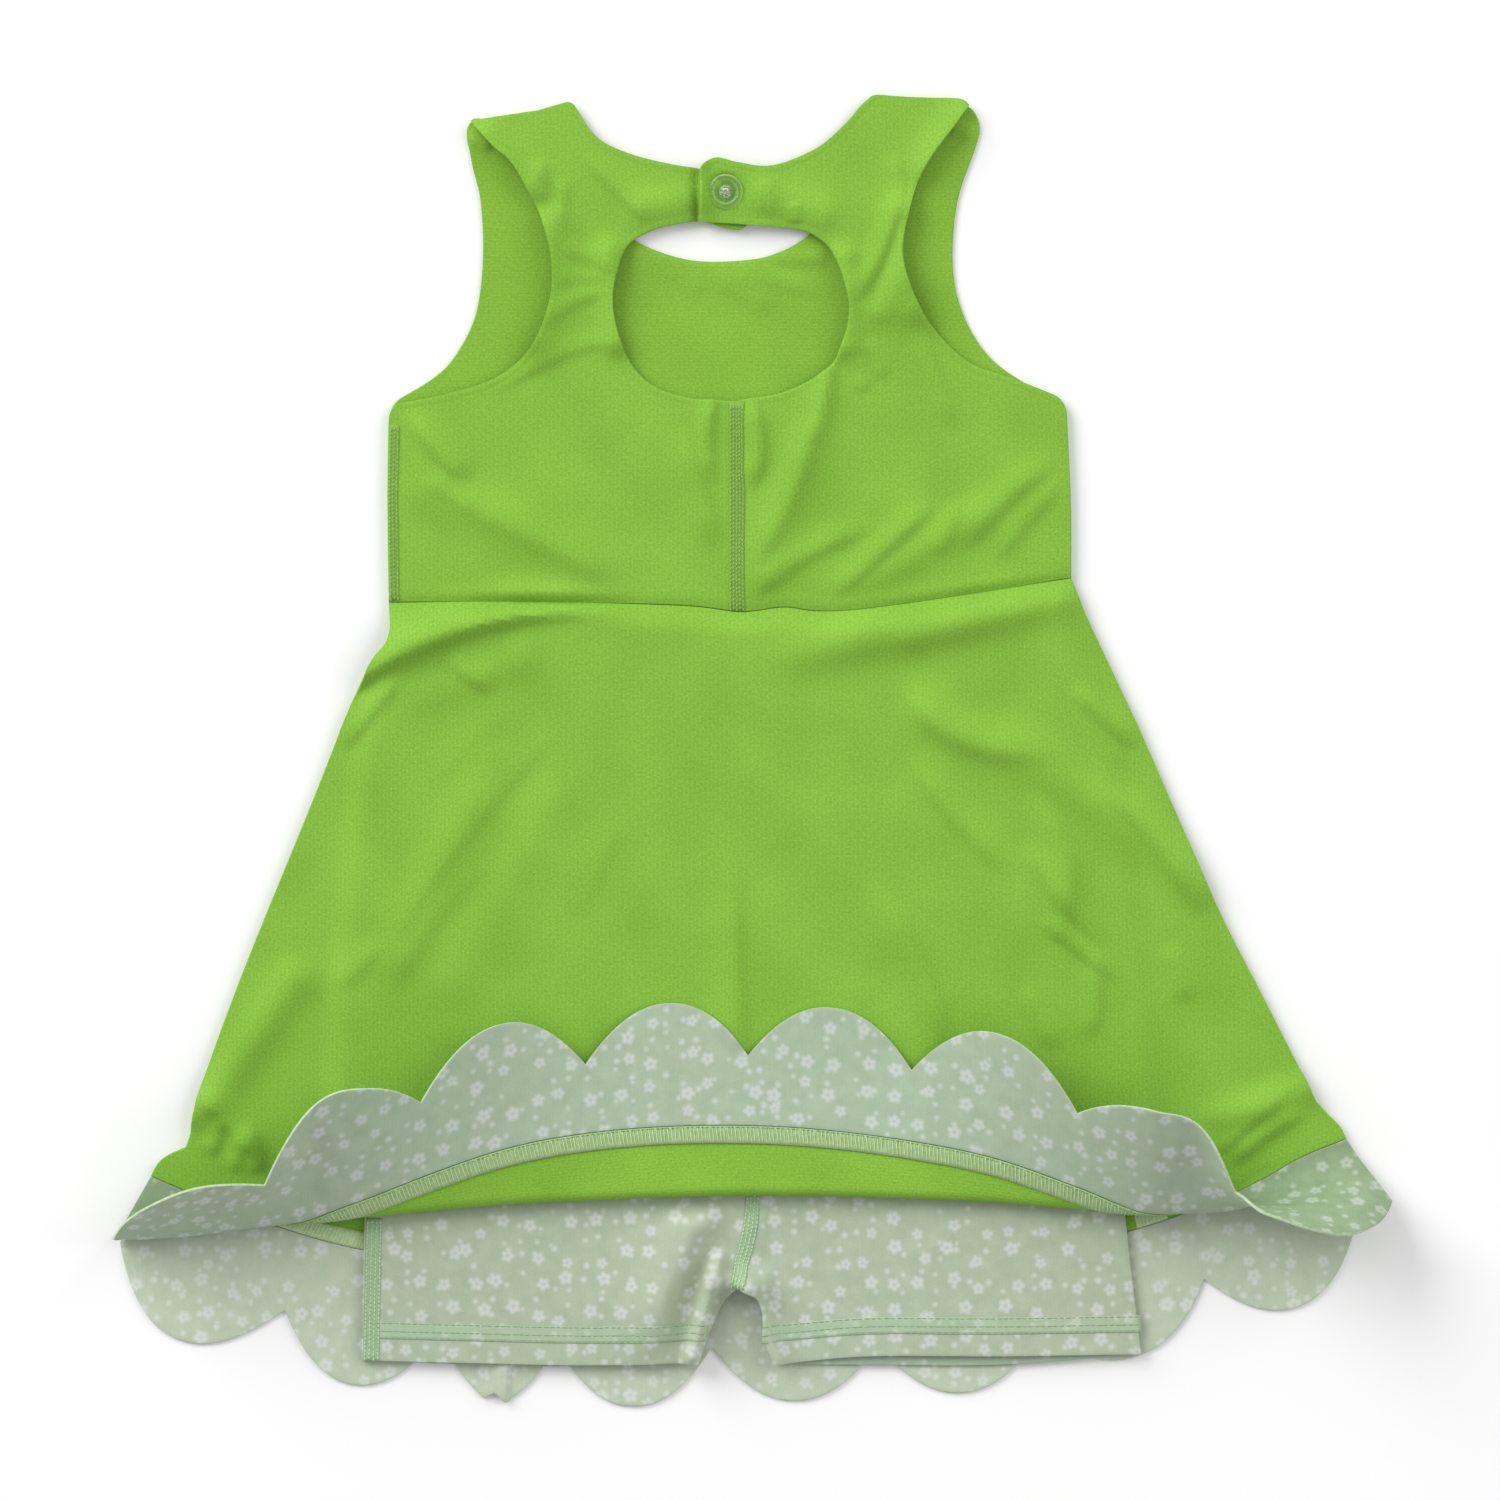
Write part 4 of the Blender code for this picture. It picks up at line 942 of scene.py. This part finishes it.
def snap_seat(x, y):
    """How deep the snap presses the cloth in: flat under it, and a smooth step up round its rim."""
    away = np.hypot(x - SNAP_MIDDLE[0], y - SNAP_MIDDLE[1])
    return SEAT_DEPTH * (1 - smooth_step((away - SEAT_RADIUS) / SEAT_SLOPE))


def lie_left(x, y):
    """The left back, with its welts. Beside the tab's end it dips by a narrow bell, the dark line there."""
    height = back_height(x, y) + welts([NECK_BACK_LEFT, ARMHOLE_BACK_LEFT, KEYHOLE_LEFT], x, y)
    dip = TAB_GROOVE * bell(x - TAB_GROOVE_AT, TAB_GROOVE_WIDTH) * ramp(y, TAB_Y)
    return x, y, height - snap_seat(x, y) - dip


def lap_over(x, y):
    """The right back, whose neckband end laps over the left one and stands off it a little at its tip."""
    lapped = ramp(x, TAB_X) * ramp(y, TAB_Y)
    height = back_height(x, y) + welts([NECK_BACK_RIGHT, ARMHOLE_BACK_RIGHT, KEYHOLE_RIGHT], x, y)
    tip = TAB_END_LIFT * bell(x - TAB_END, TAB_END_WIDTH)
    return x, y, height + (TAB_RISE + tip - snap_seat(x, y)) * lapped


def lie_along_centre(x, y):
    """Where the seam's tape of stitches lies at the centre back: on both backs."""
    return x, y, back_height(x, y) + welts([KEYHOLE_LEFT, KEYHOLE_RIGHT], x, y)


def lie_on_table(x, y):
    """The front layer rests on the table, with low creases in the few places where it shows."""
    return x, y, creases(FRONT_CREASES, x, y)


def share_at(curve, x):
    """Share of a curve that runs to the right, where it reaches an x."""
    steps = np.linspace(0.0, 1.0, 400)
    return np.interp(x, curve(steps)[:, 0], steps)


def part_at_centre(outer, inner, side):
    """Hold a back clear of the other back at the centre seam."""
    for edge in (outer, inner):
        on_seam = (np.abs(edge[:, 0]) < GAP) & (edge[:, 1] < CENTRE_SEAM_TOP)
        edge[on_seam, 0] = side * SEAM_GAP / 2


def round_corner(outer, corner, reach):
    """Round one corner of an edge, as a quadratic curve over reach columns on each side of it."""
    t = np.linspace(0, 1, 2 * reach + 1)[:, None]
    start, tip, end = outer[corner - reach], outer[corner].copy(), outer[corner + reach]
    outer[corner - reach:corner + reach + 1] = (1 - t)**2 * start + 2 * t * (1 - t) * tip + t**2 * end


def bodice_panel(name, stretches, counts, corners, inner_curve, stops, side, bends, lay, finishes, rows):
    """A bodice piece: ribs from its outer edge to its inner one, with rows that crowd towards both.

    corners are the columns whose outer corner is rounded, and stops the inner edge's shares at each stretch.
    """
    counts = [count * FINE for count in counts]
    outer = chain(stretches, counts)
    for corner in corners:
        round_corner(outer, corner * FINE, max(1, FINE // 2))
    inner = smooth_curve(inner_curve)(shares(stops, counts))
    if side:
        part_at_centre(outer, inner, side)
    even = np.linspace(0, 1, rows + 1)
    crowded = (1 - EDGE_ROWS) * even + EDGE_ROWS * (1 - np.cos(math.pi * even)) / 2
    places = np.linspace(0, 1, len(outer)), crowded
    return cut_cloth(name, *places, ruled(outer, inner, bends), lay, CLOTH, finishes, rounding=0)


bodice_waist = smooth_curve(moved(WAIST, dy=WAIST_GROOVE / 2))
front_waist = smooth_curve(moved(WAIST, dy=SEAM_GAP / 2 - FRONT_WAIST_DROP))
centre_share = share_at(bodice_waist, x=0.0)
right_side_up = [green_right, green_wrong, green_edge]
wrong_side_up = [green_wrong, green_right, green_edge]
back_left = bodice_panel(
    "back_bodice_left",
    [NECK_BACK_LEFT, SHOULDER_LEFT, ARMHOLE_BACK_LEFT, SIDE_LEFT, (bodice_waist, 0.0, centre_share)],
    (6, 4, 12, 5, 9), (22,), KEYHOLE_LEFT, KEYHOLE_LEFT_SHARES, -1, BENDS_LEFT, lie_left, right_side_up,
    BODICE_ROWS)
back_right = bodice_panel(
    "back_bodice_right",
    [(bodice_waist, centre_share, 1.0), SIDE_RIGHT, ARMHOLE_BACK_RIGHT, SHOULDER_RIGHT, NECK_BACK_RIGHT],
    (9, 5, 12, 4, 9), (14,), KEYHOLE_RIGHT, KEYHOLE_RIGHT_SHARES, 1, BENDS_RIGHT, lap_over, right_side_up,
    BODICE_ROWS)
front = bodice_panel(
    "front_bodice", [ARMHOLE_FRONT_LEFT, SIDE_LEFT, (front_waist, 0.0, 1.0), SIDE_RIGHT, ARMHOLE_FRONT_RIGHT],
    (10, 4, 14, 4, 10), (10, 32), NECK_FRONT, NECK_FRONT_SHARES, 0, BENDS_FRONT, lie_on_table, wrong_side_up,
    FRONT_ROWS)

# %% [markdown]
# The skirt. Two flared panels, each one curve of waist and one of hem. The back one is laid by the turned-up
# formula, so its rows are close together where it bends round the roll.

# %% Skirt
TURNED_SHARE = 0.15  # share of the skirt, from the band seam, that has close rows for the turn
SKIRT_ROUNDING = 0.35
skirt_seam = smooth_curve(moved(BAND_SEAM, dy=SEAM_GAP / 2))


def skirt_panel(drop):
    """The skirt's flat, whose top lies drop millimetres below the waist line."""
    top = smooth_curve(moved(WAIST, dy=-drop))
    left = smooth_curve([skirt_seam(0.0), *SKIRT_LEFT[-2:0:-1], top(0.0)])
    right = smooth_curve([skirt_seam(1.0), *SKIRT_RIGHT[-2:0:-1], top(1.0)])
    return four_sided(skirt_seam, top, left, right)


back_edge = hem_points(BACK_CORNER, BACK_SCALLOPS)
back_columns = seam_shares(back_edge)
skirt_rows = shares((0, TURNED_SHARE, 1), ((39, 139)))
skirt_back = cut_cloth("back_skirt", back_columns, skirt_rows, skirt_panel(WAIST_GROOVE / 2), turned_back,
                       CLOTH, right_side_up, SKIRT_ROUNDING)
front_skirt_flat = skirt_panel(FRONT_WAIST_DROP + SEAM_GAP / 2)
skirt_front = cut_cloth("front_skirt", np.linspace(0, 1, 97), np.linspace(0, 1, 41), front_skirt_flat,
                        lie_on_table, CLOTH, wrong_side_up, SKIRT_ROUNDING)

# %% [markdown]
# The bands. Each is a strip from the band seam to the scalloped edge, cut from the print and left raw.

# %% Bands
band_rows = np.linspace(0, 1, 30)
band_seam = smooth_curve(moved(BAND_SEAM, dy=-SEAM_GAP / 2))
bands = []
for name, edge, lay, upper, lower in (
        ("back_band", back_edge, turned_back, print_right_painted_shade, print_wrong),
        ("front_band", hem_points(FRONT_CORNER, FRONT_SCALLOPS), lie_on_table, print_front_painted_light, print_right_painted_shade)):
    flat = ruled(edge, band_seam(seam_shares(edge)))
    columns = np.linspace(0, 1, len(edge))
    bands.append(cut_cloth(name, columns, band_rows, flat, lay, CLOTH, [upper, lower, cut_edge]))
band_back, band_front = bands

# %% [markdown]
# The shorts. Each leg is a front half under a back half. The legs join down the centre above the crotch, and
# part below it. They are slack where they come out under the turned-up hem.

# %% Shorts
CROTCH_SHARE = 0.12  # share of the leg's height at which the legs join
SHOWN_SHARE = 0.3  # above this the leg is hidden, and its rows are wide apart
LEG_SHOWS_BELOW, LEG_SHOWS_OVER = -237.0, 12.0
LEG_SLACK, LEG_WAVE = 0.9, 326.0
FRONT_HEM_DROP = {"left": 0.6, "right": 3.4}
LEG_RIDGES = np.array([
    (-7, -262, -17, -301, 3, 8),  # the left leg's inseam stands up
    (7, -246, 3, -268, 6, 1.6),
    (-4, -270, 10, -272.5, 5, 6.5),  # the top of the arch between the legs
    (5, -274, 17, -302, 4, 5.5),  # and the right one's a little
], dtype=RIDGE)
LEG_CREASES = np.array([
    (-34, -312, -22, -258, 4, -230, 14, 6.5, 6.5),
    (-60, -300, -40, -270, -36, -244, 10, 7, 0.8),
    (96, -296, 84, -268, 80, -244, 12, 9, 0.8),
], dtype=CREASE)


def lie_in_front_leg(x, y):
    """Front half of a leg, on the skirt front."""
    return x, y, np.full_like(x, SHORTS_FRONT_Z)


def lie_in_back_leg(x, y):
    """Back half of a leg, slack where it comes out below the skirt's turn."""
    shows = smooth_step((LEG_SHOWS_BELOW - y) / LEG_SHOWS_OVER)
    slack = LEG_SLACK * shows * np.abs(np.sin(2 * math.pi * x / LEG_WAVE))
    return x, y, SHORTS_BACK_Z + slack + (ridges(LEG_RIDGES, x, y) + creases(LEG_CREASES, x, y)) * shows


def joined(low, high, split):
    """One edge from two curves: low up to the split share, high past it."""
    def at(share):
        share = np.atleast_1d(share)
        return np.where((share < split)[:, None], low(share / split), high((share - split) / (1 - split)))
    return at


leg_rows = shares((0, CROTCH_SHARE, SHOWN_SHARE, 1), (24, 24, 19))
even = np.linspace(0, 1, 101)
# the columns are closer together at the inseam
leg_columns = {"left": 1.5 * even - 0.5 * even**2, "right": 0.5 * even + 0.5 * even**2}
legs = {}
for side, shift, outer, inseam, hem in (
        ("left", -SEAM_GAP / 2, LEG_LEFT_OUTER, INSEAM_LEFT, LEG_LEFT_HEM),
        ("right", SEAM_GAP / 2, LEG_RIGHT_OUTER, INSEAM_RIGHT, LEG_RIGHT_HEM)):
    inseam, centre = moved(inseam[::-1], dx=shift), moved(SHORTS_CENTRE[::-1], dx=shift)
    edges = [smooth_curve(outer[::-1]), joined(smooth_curve(inseam), smooth_curve(centre), CROTCH_SHARE)]
    top, low = [outer[0], centre[-1]], [*hem[:-1], inseam[0]]
    if side == "right":
        edges, top, low = edges[::-1], top[::-1], low[::-1]
    dropped = [low[0], *moved(low[1:-1], dy=-FRONT_HEM_DROP[side]), low[-1]]
    for half, bottom, lay, sides in (("back", low, lie_in_back_leg, [print_shorts, print_wrong]),
                                     ("front", dropped, lie_in_front_leg, [print_wrong, print_shorts])):
        flat = four_sided(smooth_curve(bottom), smooth_curve(top), *edges)
        legs[half, side] = cut_cloth(f"{half}_leg_{side}", leg_columns[side], leg_rows, flat, lay,
                                     SHORTS_CLOTH, [*sides, print_shorts], rounding=0.3)

# %% [markdown]
# The sewing. Each seam is a narrow tape of cloth that stands for its allowance, and rows of short threads on
# it. A thread is a thin tube along a short path, and its path is a place along a flat curve and to its left,
# lifted off the cloth by the same lay as the cloth's. So the stitches follow every fold and go round the
# turned hem. The real ones are 0.9 to 1.5 mm apart; they are drawn up to twice as coarse, so that they show.

# %% Threads
THREAD_SIDES = 5
THREAD_STEPS = 5
THREAD_UP = np.array([0.31, 0.17, 0.93])  # no thread runs this way, so it can stand for up
DIRECTION_STEP = 0.003  # share of a curve on each side of a place that gives its direction
LEAN, LEAN_WAVE = 0.12, 2.4  # how far a stitch leans, as a share of the pitch, and radians to the next one
TAPE_SQUARE, TAPE_ROWS = 1.6, 5  # a tape's squares are this long, and this many across it


def threads(name, paths, radius, finish):
    """Short threads as one mesh, each a ring of points round every place on its path, thinner at both ends.

    A ring's point is the place plus radius * (cos a * side + sin a * out), both square to the path.
    """
    steps = paths.shape[1]
    along_path = np.gradient(paths, axis=1)
    along_path /= np.linalg.norm(along_path, axis=2, keepdims=True)
    side = np.cross(along_path, THREAD_UP)
    side /= np.linalg.norm(side, axis=2, keepdims=True)
    out = np.cross(side, along_path)
    angle = (2 * math.pi * np.arange(THREAD_SIDES) / THREAD_SIDES)[:, None]
    slim = radius * np.sqrt(np.sin(math.pi * (np.arange(steps) + 0.5) / steps))[:, None, None]
    rings = paths[:, :, None] + slim * (np.cos(angle) * side[:, :, None] + np.sin(angle) * out[:, :, None])
    number = np.arange(rings[..., 0].size).reshape(rings.shape[:3])
    after = np.roll(number, -1, axis=2)
    quads = np.stack([number[:, :-1], number[:, 1:], after[:, 1:], after[:, :-1]], axis=-1).reshape(-1, 4)
    ends = np.concatenate([number[:, 0], number[:, -1, ::-1]])
    made = add_mesh(name, rings.reshape(-1, 3), quads.tolist() + ends.tolist(), [finish])
    print(name, len(paths), "threads")
    return made


def beside(curve, run, left):
    """The flat place run millimetres down a curve and left millimetres to its left."""
    share = run / length_of(curve)
    before, after = (curve(np.clip(share + step, 0, 1)) for step in (-DIRECTION_STEP, DIRECTION_STEP))
    ahead = after - before
    ahead /= np.linalg.norm(ahead, axis=-1, keepdims=True)
    place = curve(share)
    return place[..., 0] - ahead[..., 1] * left, place[..., 1] + ahead[..., 0] * left


def sew(name, lay, curve, pitch, stitches, radius, bow, finish, start=0.0, end=None):
    """Repeat a few stitches along a flat curve at a pitch.

    A stitch goes from one run and left to another, and bows up in the middle, or down if bow is negative.
    Its lean varies a little, by a sine of its number.
    """
    first = np.arange(start, (end or length_of(curve)) - pitch, pitch)
    t = np.linspace(0, 1, THREAD_STEPS)
    paths = []
    for run_0, left_0, run_1, left_1 in stitches:
        lean = LEAN * pitch * np.sin(LEAN_WAVE * np.arange(len(first)))[:, None]
        run = first[:, None] + run_0 + (run_1 - run_0 + lean) * t
        left = np.broadcast_to(left_0 + (left_1 - left_0) * t, run.shape)
        x, y = beside(curve, run, left)
        lift = np.broadcast_to(bow * np.sin(math.pi * t), run.shape).ravel()
        low, high = raised(lay, 0.0)(x.ravel(), y.ravel()), raised(lay, 1.0)(x.ravel(), y.ravel())
        paths.append((low + (high - low) * lift).T.reshape(*run.shape, 3))
    return threads(name, np.concatenate(paths), radius, finish)


def tape(name, lay, curve, lefts, wall, finish, start=0.0, end=None):
    """A narrow strip of cloth along a flat curve, from one distance to its left to another."""
    end = end or length_of(curve)

    def flat(u, v):
        return beside(curve, start + (end - start) * u, lefts[0] + (lefts[1] - lefts[0]) * v)
    u = np.linspace(0, 1, max(12, int((end - start) / TAPE_SQUARE)) + 1)
    v = np.linspace(0, 1, TAPE_ROWS + 1)
    return cut_cloth(name, u, v, flat, lay, wall, [finish] * 3, rounding=0)


def in_rows(lefts, length):
    """One straight stitch in each row, at each distance to the left, every second one set back by half."""
    return [(0.5 * (k % 2), left, 0.5 * (k % 2) + length, left) for k, left in enumerate(lefts)]


print("threads have", THREAD_SIDES, "sides")

# %% [markdown]
# Overlocked band seam. Its allowance, 7 mm wide, lies on the skirt's wrong side, wrapped in pale green looper
# yarn that slants from edge to edge. It shows all along the turned-up back, and at two stretches in front.

# %% Band seam
ALLOWANCE, ALLOWANCE_WALL = (0.2, 7.2), 0.5
HATCH_PITCH, NEEDLE_PITCH = 1.5, 2.0
BACK_LIFTS, FRONT_LIFTS = (0.05, 0.12), (0.02, 0.18)  # how far the tape and the threads clear the cloth
FRONT_STRETCHES = ((40.0, 104.0), (402.0, 415.0))
SEAM_START, SEAM_END = 4.0, length_of(band_seam) - 5.0  # where the allowance still lies inside the skirt
under_back, under_tape = (raised(turned_back, -ALLOWANCE_WALL - lift) for lift in BACK_LIFTS)
back_seam_tape = tape("back_band_allowance", under_back, band_seam, ALLOWANCE, ALLOWANCE_WALL,
                      finish=overlock_ground, start=SEAM_START, end=SEAM_END)
back_seam_hatch = sew("back_band_overlock", under_tape, band_seam, HATCH_PITCH, [(0.0, 0.5, 1.0, 7.0)],
                      radius=0.25, bow=-0.08, finish=overlock_yarn, start=SEAM_START, end=SEAM_END)
back_seam_needle = sew("back_band_needle_row", under_tape, band_seam, NEEDLE_PITCH, [(0.0, 0.7, 1.3, 0.7)],
                       radius=0.24, bow=-0.12, finish=needle_yarn, start=SEAM_START, end=SEAM_END)
over_front, over_tape = (raised(lie_on_table, CLOTH + lift) for lift in FRONT_LIFTS)
front_seam = []
for number, (start, end) in enumerate(FRONT_STRETCHES):
    front_seam += [
        tape(f"front_band_allowance_{number}", over_front, band_seam, ALLOWANCE, wall=0.2,
             finish=front_overlock_ground_painted_light, start=start, end=end),
        sew(f"front_band_overlock_{number}", over_tape, band_seam, HATCH_PITCH, [(0.0, 0.5, 1.0, 6.8)],
            radius=0.22, bow=0.04, finish=front_overlock_yarn_painted_light, start=start, end=end)]

# %% [markdown]
# Flatlock seams. The pieces meet edge to edge under a flat tape of yarn, in lengthwise rows. At the centre
# back and the left side it is close to the jersey's own green, and on the shorts it is pale green.

# %% Flatlocks
centre_line = smooth_curve([(0.8, -2.2), (0.8, 40.0), (0.8, 81.0)])
side_line = smooth_curve([(-136.3, 2.0), (-136.8, 42.0), (-136.2, 72.0)])
FLATLOCK_WALL, FLATLOCK_PITCH, FLATLOCK_STITCH = 0.15, 1.6, 1.25
FLATLOCK_LIFTS = (0.02, 0.04)  # the tape over the cloth, and the threads over the tape
FLATLOCKS = [
    # name, lay of the cloth, its wall, line, lefts of the tape, rows, yarn, ground
    ("centre_back", lie_along_centre, CLOTH, centre_line, (3.2, -3.2), np.linspace(2.5, -2.5, 5),
     flatlock_yarn, flatlock_ground),
    ("left_side", lie_left, CLOTH, side_line, (1.9, -2.2), np.linspace(1.3, -1.6, 3), flatlock_yarn,
     flatlock_ground),
    ("shorts_centre", lie_in_back_leg, SHORTS_CLOTH, smooth_curve(SHORTS_CENTRE[-1:-6:-1]), (2.8, -2.8),
     np.linspace(2.2, -2.2, 4), shorts_yarn, shorts_ground),
    ("shorts_left_side", lie_in_back_leg, SHORTS_CLOTH, smooth_curve(LEG_LEFT_OUTER[-1:-3:-1]), (-0.6, -7.0),
     np.linspace(-1.2, -6.4, 4), shorts_yarn, shorts_ground),
]
flatlocks = {}
for name, lay, wall, line, lefts, rows, yarn, ground in FLATLOCKS:
    over_cloth = raised(lay, wall + FLATLOCK_LIFTS[0])
    over_tape = raised(lay, wall + FLATLOCK_WALL + FLATLOCK_LIFTS[1])
    flatlocks[name] = [
        tape(f"{name}_tape", over_cloth, line, lefts[::-1], FLATLOCK_WALL, ground),
        sew(f"{name}_rows", over_tape, line, FLATLOCK_PITCH, in_rows(rows, FLATLOCK_STITCH), radius=0.3,
            bow=0.1, finish=yarn)]

# %% [markdown]
# Coverstitch. The shorts' hems are turned up and held by three rows of needle stitches, about 3 mm apart. The
# looper yarn beneath tints the cloth between them.

# %% Coverstitched hems
HEM_ROWS, HEM_TINT = (9.2, 12.0, 15.2), (8.8, 15.6)
HEM_PITCH, HEM_STITCH, HEM_LIFTS = 2.5, 1.9, (0.02, 0.1)
hems = {}
over_leg, over_tint = (raised(lie_in_back_leg, SHORTS_CLOTH + lift) for lift in HEM_LIFTS)
for side, hem in (("left", [*LEG_LEFT_HEM[:-1], (-11.4, -302.9)]),
                  ("right", [(12.4, -303.8), *LEG_RIGHT_HEM[-2::-1]])):
    line = smooth_curve(hem)
    stitches = [(0.0, left, HEM_STITCH, left) for left in HEM_ROWS]
    hems[side] = [
        tape(f"{side}_hem_tint", over_leg, line, HEM_TINT, wall=0.05, finish=print_hem),
        sew(f"{side}_hem_rows", over_tint, line, HEM_PITCH, stitches, radius=0.22, bow=0.06, finish=hem_yarn)]

# %% [markdown]
# The snap. A clear plastic snap holds the tab: a flat dome with a rim, a dished ring and a small nub. It is a
# turned surface, so its profile is carried round an axis. Clear acetal is slightly milky and glossy: where it
# faces the eye the green cloth shows through, and where it slopes its edges catch the light. The nub is
# painted with highlights: white specks on a darker green, which is painted shade.

# %% Snap
snap_floor = lap_over(np.array([SNAP_MIDDLE[0]]), np.array([SNAP_MIDDLE[1]]))[2][0] + CLOTH
SNAP_PLACE = np.array([*SNAP_MIDDLE, snap_floor + 0.05])
SNAP_STEPS = 96
COVER_FLAT, COVER_SLOPED, SLOPED = 0.05, 0.55, 0.6  # how much it hides, flat on and past the third's slope
NUB_RADII, NUB_COVER = (0.0023, 0.0029), 0.4  # its look fades out between these, in metres
# grain and range of the nub's painted highlights
GLINT_GRAIN, GLINT_SHADES = 0.0007, (0.42, 0.62)
SNAP_PROFILE = [
    (0, 2.15), (0.5, 2.12), (0.9, 1.98), (1.15, 1.7), (1.35, 1.35), (1.7, 1.22), (2.2, 1.2), (3.4, 1.2),
    (4.2, 1.22), (4.5, 1.32), (4.75, 1.62), (5, 1.95), (5.3, 2.12), (5.7, 2.15), (6.1, 2.05), (6.5, 1.75),
    (6.8, 1.3), (6.95, 0.8), (7, 0.4), (6.9, 0.12), (6.7, 0), (0, 0)]


def turned(profile, steps, place):
    """A profile of radius and height, carried round the upright axis: x is r cos a, y is r sin a.

    Its first and last points are on the axis, so each end closes in a ring of triangles.
    """
    radius, height = np.array(profile[1:-1]).T
    angle = 2 * math.pi * np.arange(steps) / steps
    rings = np.stack([np.outer(radius, np.cos(angle)), np.outer(radius, np.sin(angle)),
                      np.repeat(height[:, None], steps, axis=1)], axis=-1).reshape(-1, 3)
    ends = np.array([(0.0, 0.0, profile[0][1]), (0.0, 0.0, profile[-1][1])])
    step, after = np.arange(steps), (np.arange(steps) + 1) % steps
    first = steps * np.arange(len(radius) - 1)[:, None]
    quads = np.stack([first + step, first + steps + step, first + steps + after, first + after], axis=-1)
    last = steps * (len(radius) - 1)
    top = np.stack([np.full(steps, len(rings)), step, after], axis=-1)
    base = np.stack([np.full(steps, len(rings) + 1), last + after, last + step], axis=-1)
    return np.vstack([rings, ends]) + place, quads.reshape(-1, 4).tolist() + top.tolist() + base.tolist()


clear_plastic, plastic_tree, plastic_shader = start_material("clear snap plastic", roughness=0.10)
plastic_shader.inputs["IOR"].default_value = 1.48
plastic_shader.inputs["Coat Weight"].default_value = 1.0
plastic_shader.inputs["Coat Roughness"].default_value = 0.04
facing = node(plastic_tree, "LayerWeight", {"Blend": 0.5}).outputs["Facing"]
slope_range = {"Value": facing, "From Max": SLOPED, "To Min": COVER_FLAT, "To Max": COVER_SLOPED}
body = node(plastic_tree, "MapRange", slope_range).outputs[0]
plastic_place = node(plastic_tree, "TexCoord").outputs["Object"]
in_plan = node(plastic_tree, "VectorMath", {0: plastic_place, 1: (1.0, 1.0, 0.0)}, operation="MULTIPLY")
axis = (*((SNAP_PLACE - CENTRE) * MM)[:2], 0.0)
from_axis = node(plastic_tree, "VectorMath", {0: in_plan.outputs[0], 1: axis}, operation="DISTANCE")
nub_range = {"Value": from_axis.outputs["Value"], "From Min": NUB_RADII[1], "From Max": NUB_RADII[0]}
nub = node(plastic_tree, "MapRange", nub_range).outputs[0]
# painted highlights and shade on the nub: white glints speckled over a dark green
painted_glints = node(plastic_tree, "TexNoise", {"Vector": plastic_place, "Scale": 1 / GLINT_GRAIN, "Detail": 2.0})
nub_painted_light = two_shades(plastic_tree, painted_glints.outputs["Fac"], *GLINT_SHADES, "5E8A3C", "E8F0E0")
tone = node(plastic_tree, "Mix", {0: nub, 6: linear("B8DC92"), 7: nub_painted_light}, data_type="RGBA").outputs[2]
cover = node(plastic_tree, "Math", {0: nub, 1: NUB_COVER, 2: body}, operation="MULTIPLY_ADD").outputs[0]
plastic_tree.links.new(tone, plastic_shader.inputs["Base Color"])
plastic_tree.links.new(cover, plastic_shader.inputs["Alpha"])
snap_points, snap_faces = turned(SNAP_PROFILE, SNAP_STEPS, SNAP_PLACE)
snap = add_mesh("snap", snap_points, snap_faces, [clear_plastic])
print("snap", len(snap_faces), "faces")

# %% [markdown]
# Every piece rides on the one body, and its solid is hidden. The table also lists each piece's slot, how
# it is held and what it rests on, which the loop here does not use.

# %% Tie to the frame
SHEETS = [
    # piece, its solid, slot, how it is held, what it rests on, the sewing on it
    (back_left, "bodice_back_left", "green_jersey", "laid", ["bodice_front"], flatlocks["left_side"]),
    (back_right, "bodice_back_right", "green_jersey", "laid", ["bodice_front"], flatlocks["centre_back"]),
    (front, "bodice_front", "green_jersey", "laid", ["floor"], []),
    (skirt_back, "skirt_back", "green_jersey", "folded", ["skirt_front", "shorts_back_left"],
     [back_seam_tape, back_seam_hatch, back_seam_needle]),
    (skirt_front, "skirt_front", "green_jersey", "laid", ["floor"], front_seam),
    (band_back, "hem_band_back", "sage_print", "folded", ["skirt_back"], []),
    (band_front, "hem_band_front", "sage_print", "laid", ["floor"], []),
    (legs["back", "left"], "shorts_back_left", "sage_print", "laid", ["shorts_front_left"],
     flatlocks["shorts_left_side"] + hems["left"]),
    (legs["back", "right"], "shorts_back_right", "sage_print", "laid", ["shorts_front_right"],
     flatlocks["shorts_centre"] + hems["right"]),
    (legs["front", "left"], "shorts_front_left", "sage_print", "laid", ["skirt_front"], []),
    (legs["front", "right"], "shorts_front_right", "sage_print", "laid", ["skirt_front"], []),
]
for piece, solid, slot, held, under, sewing in SHEETS:
    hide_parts(solid)
    for part in [piece, *sewing]:
        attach(part, "root")
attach(snap, "root")
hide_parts("snap_cap")
print(len(SHEETS), "sheets")
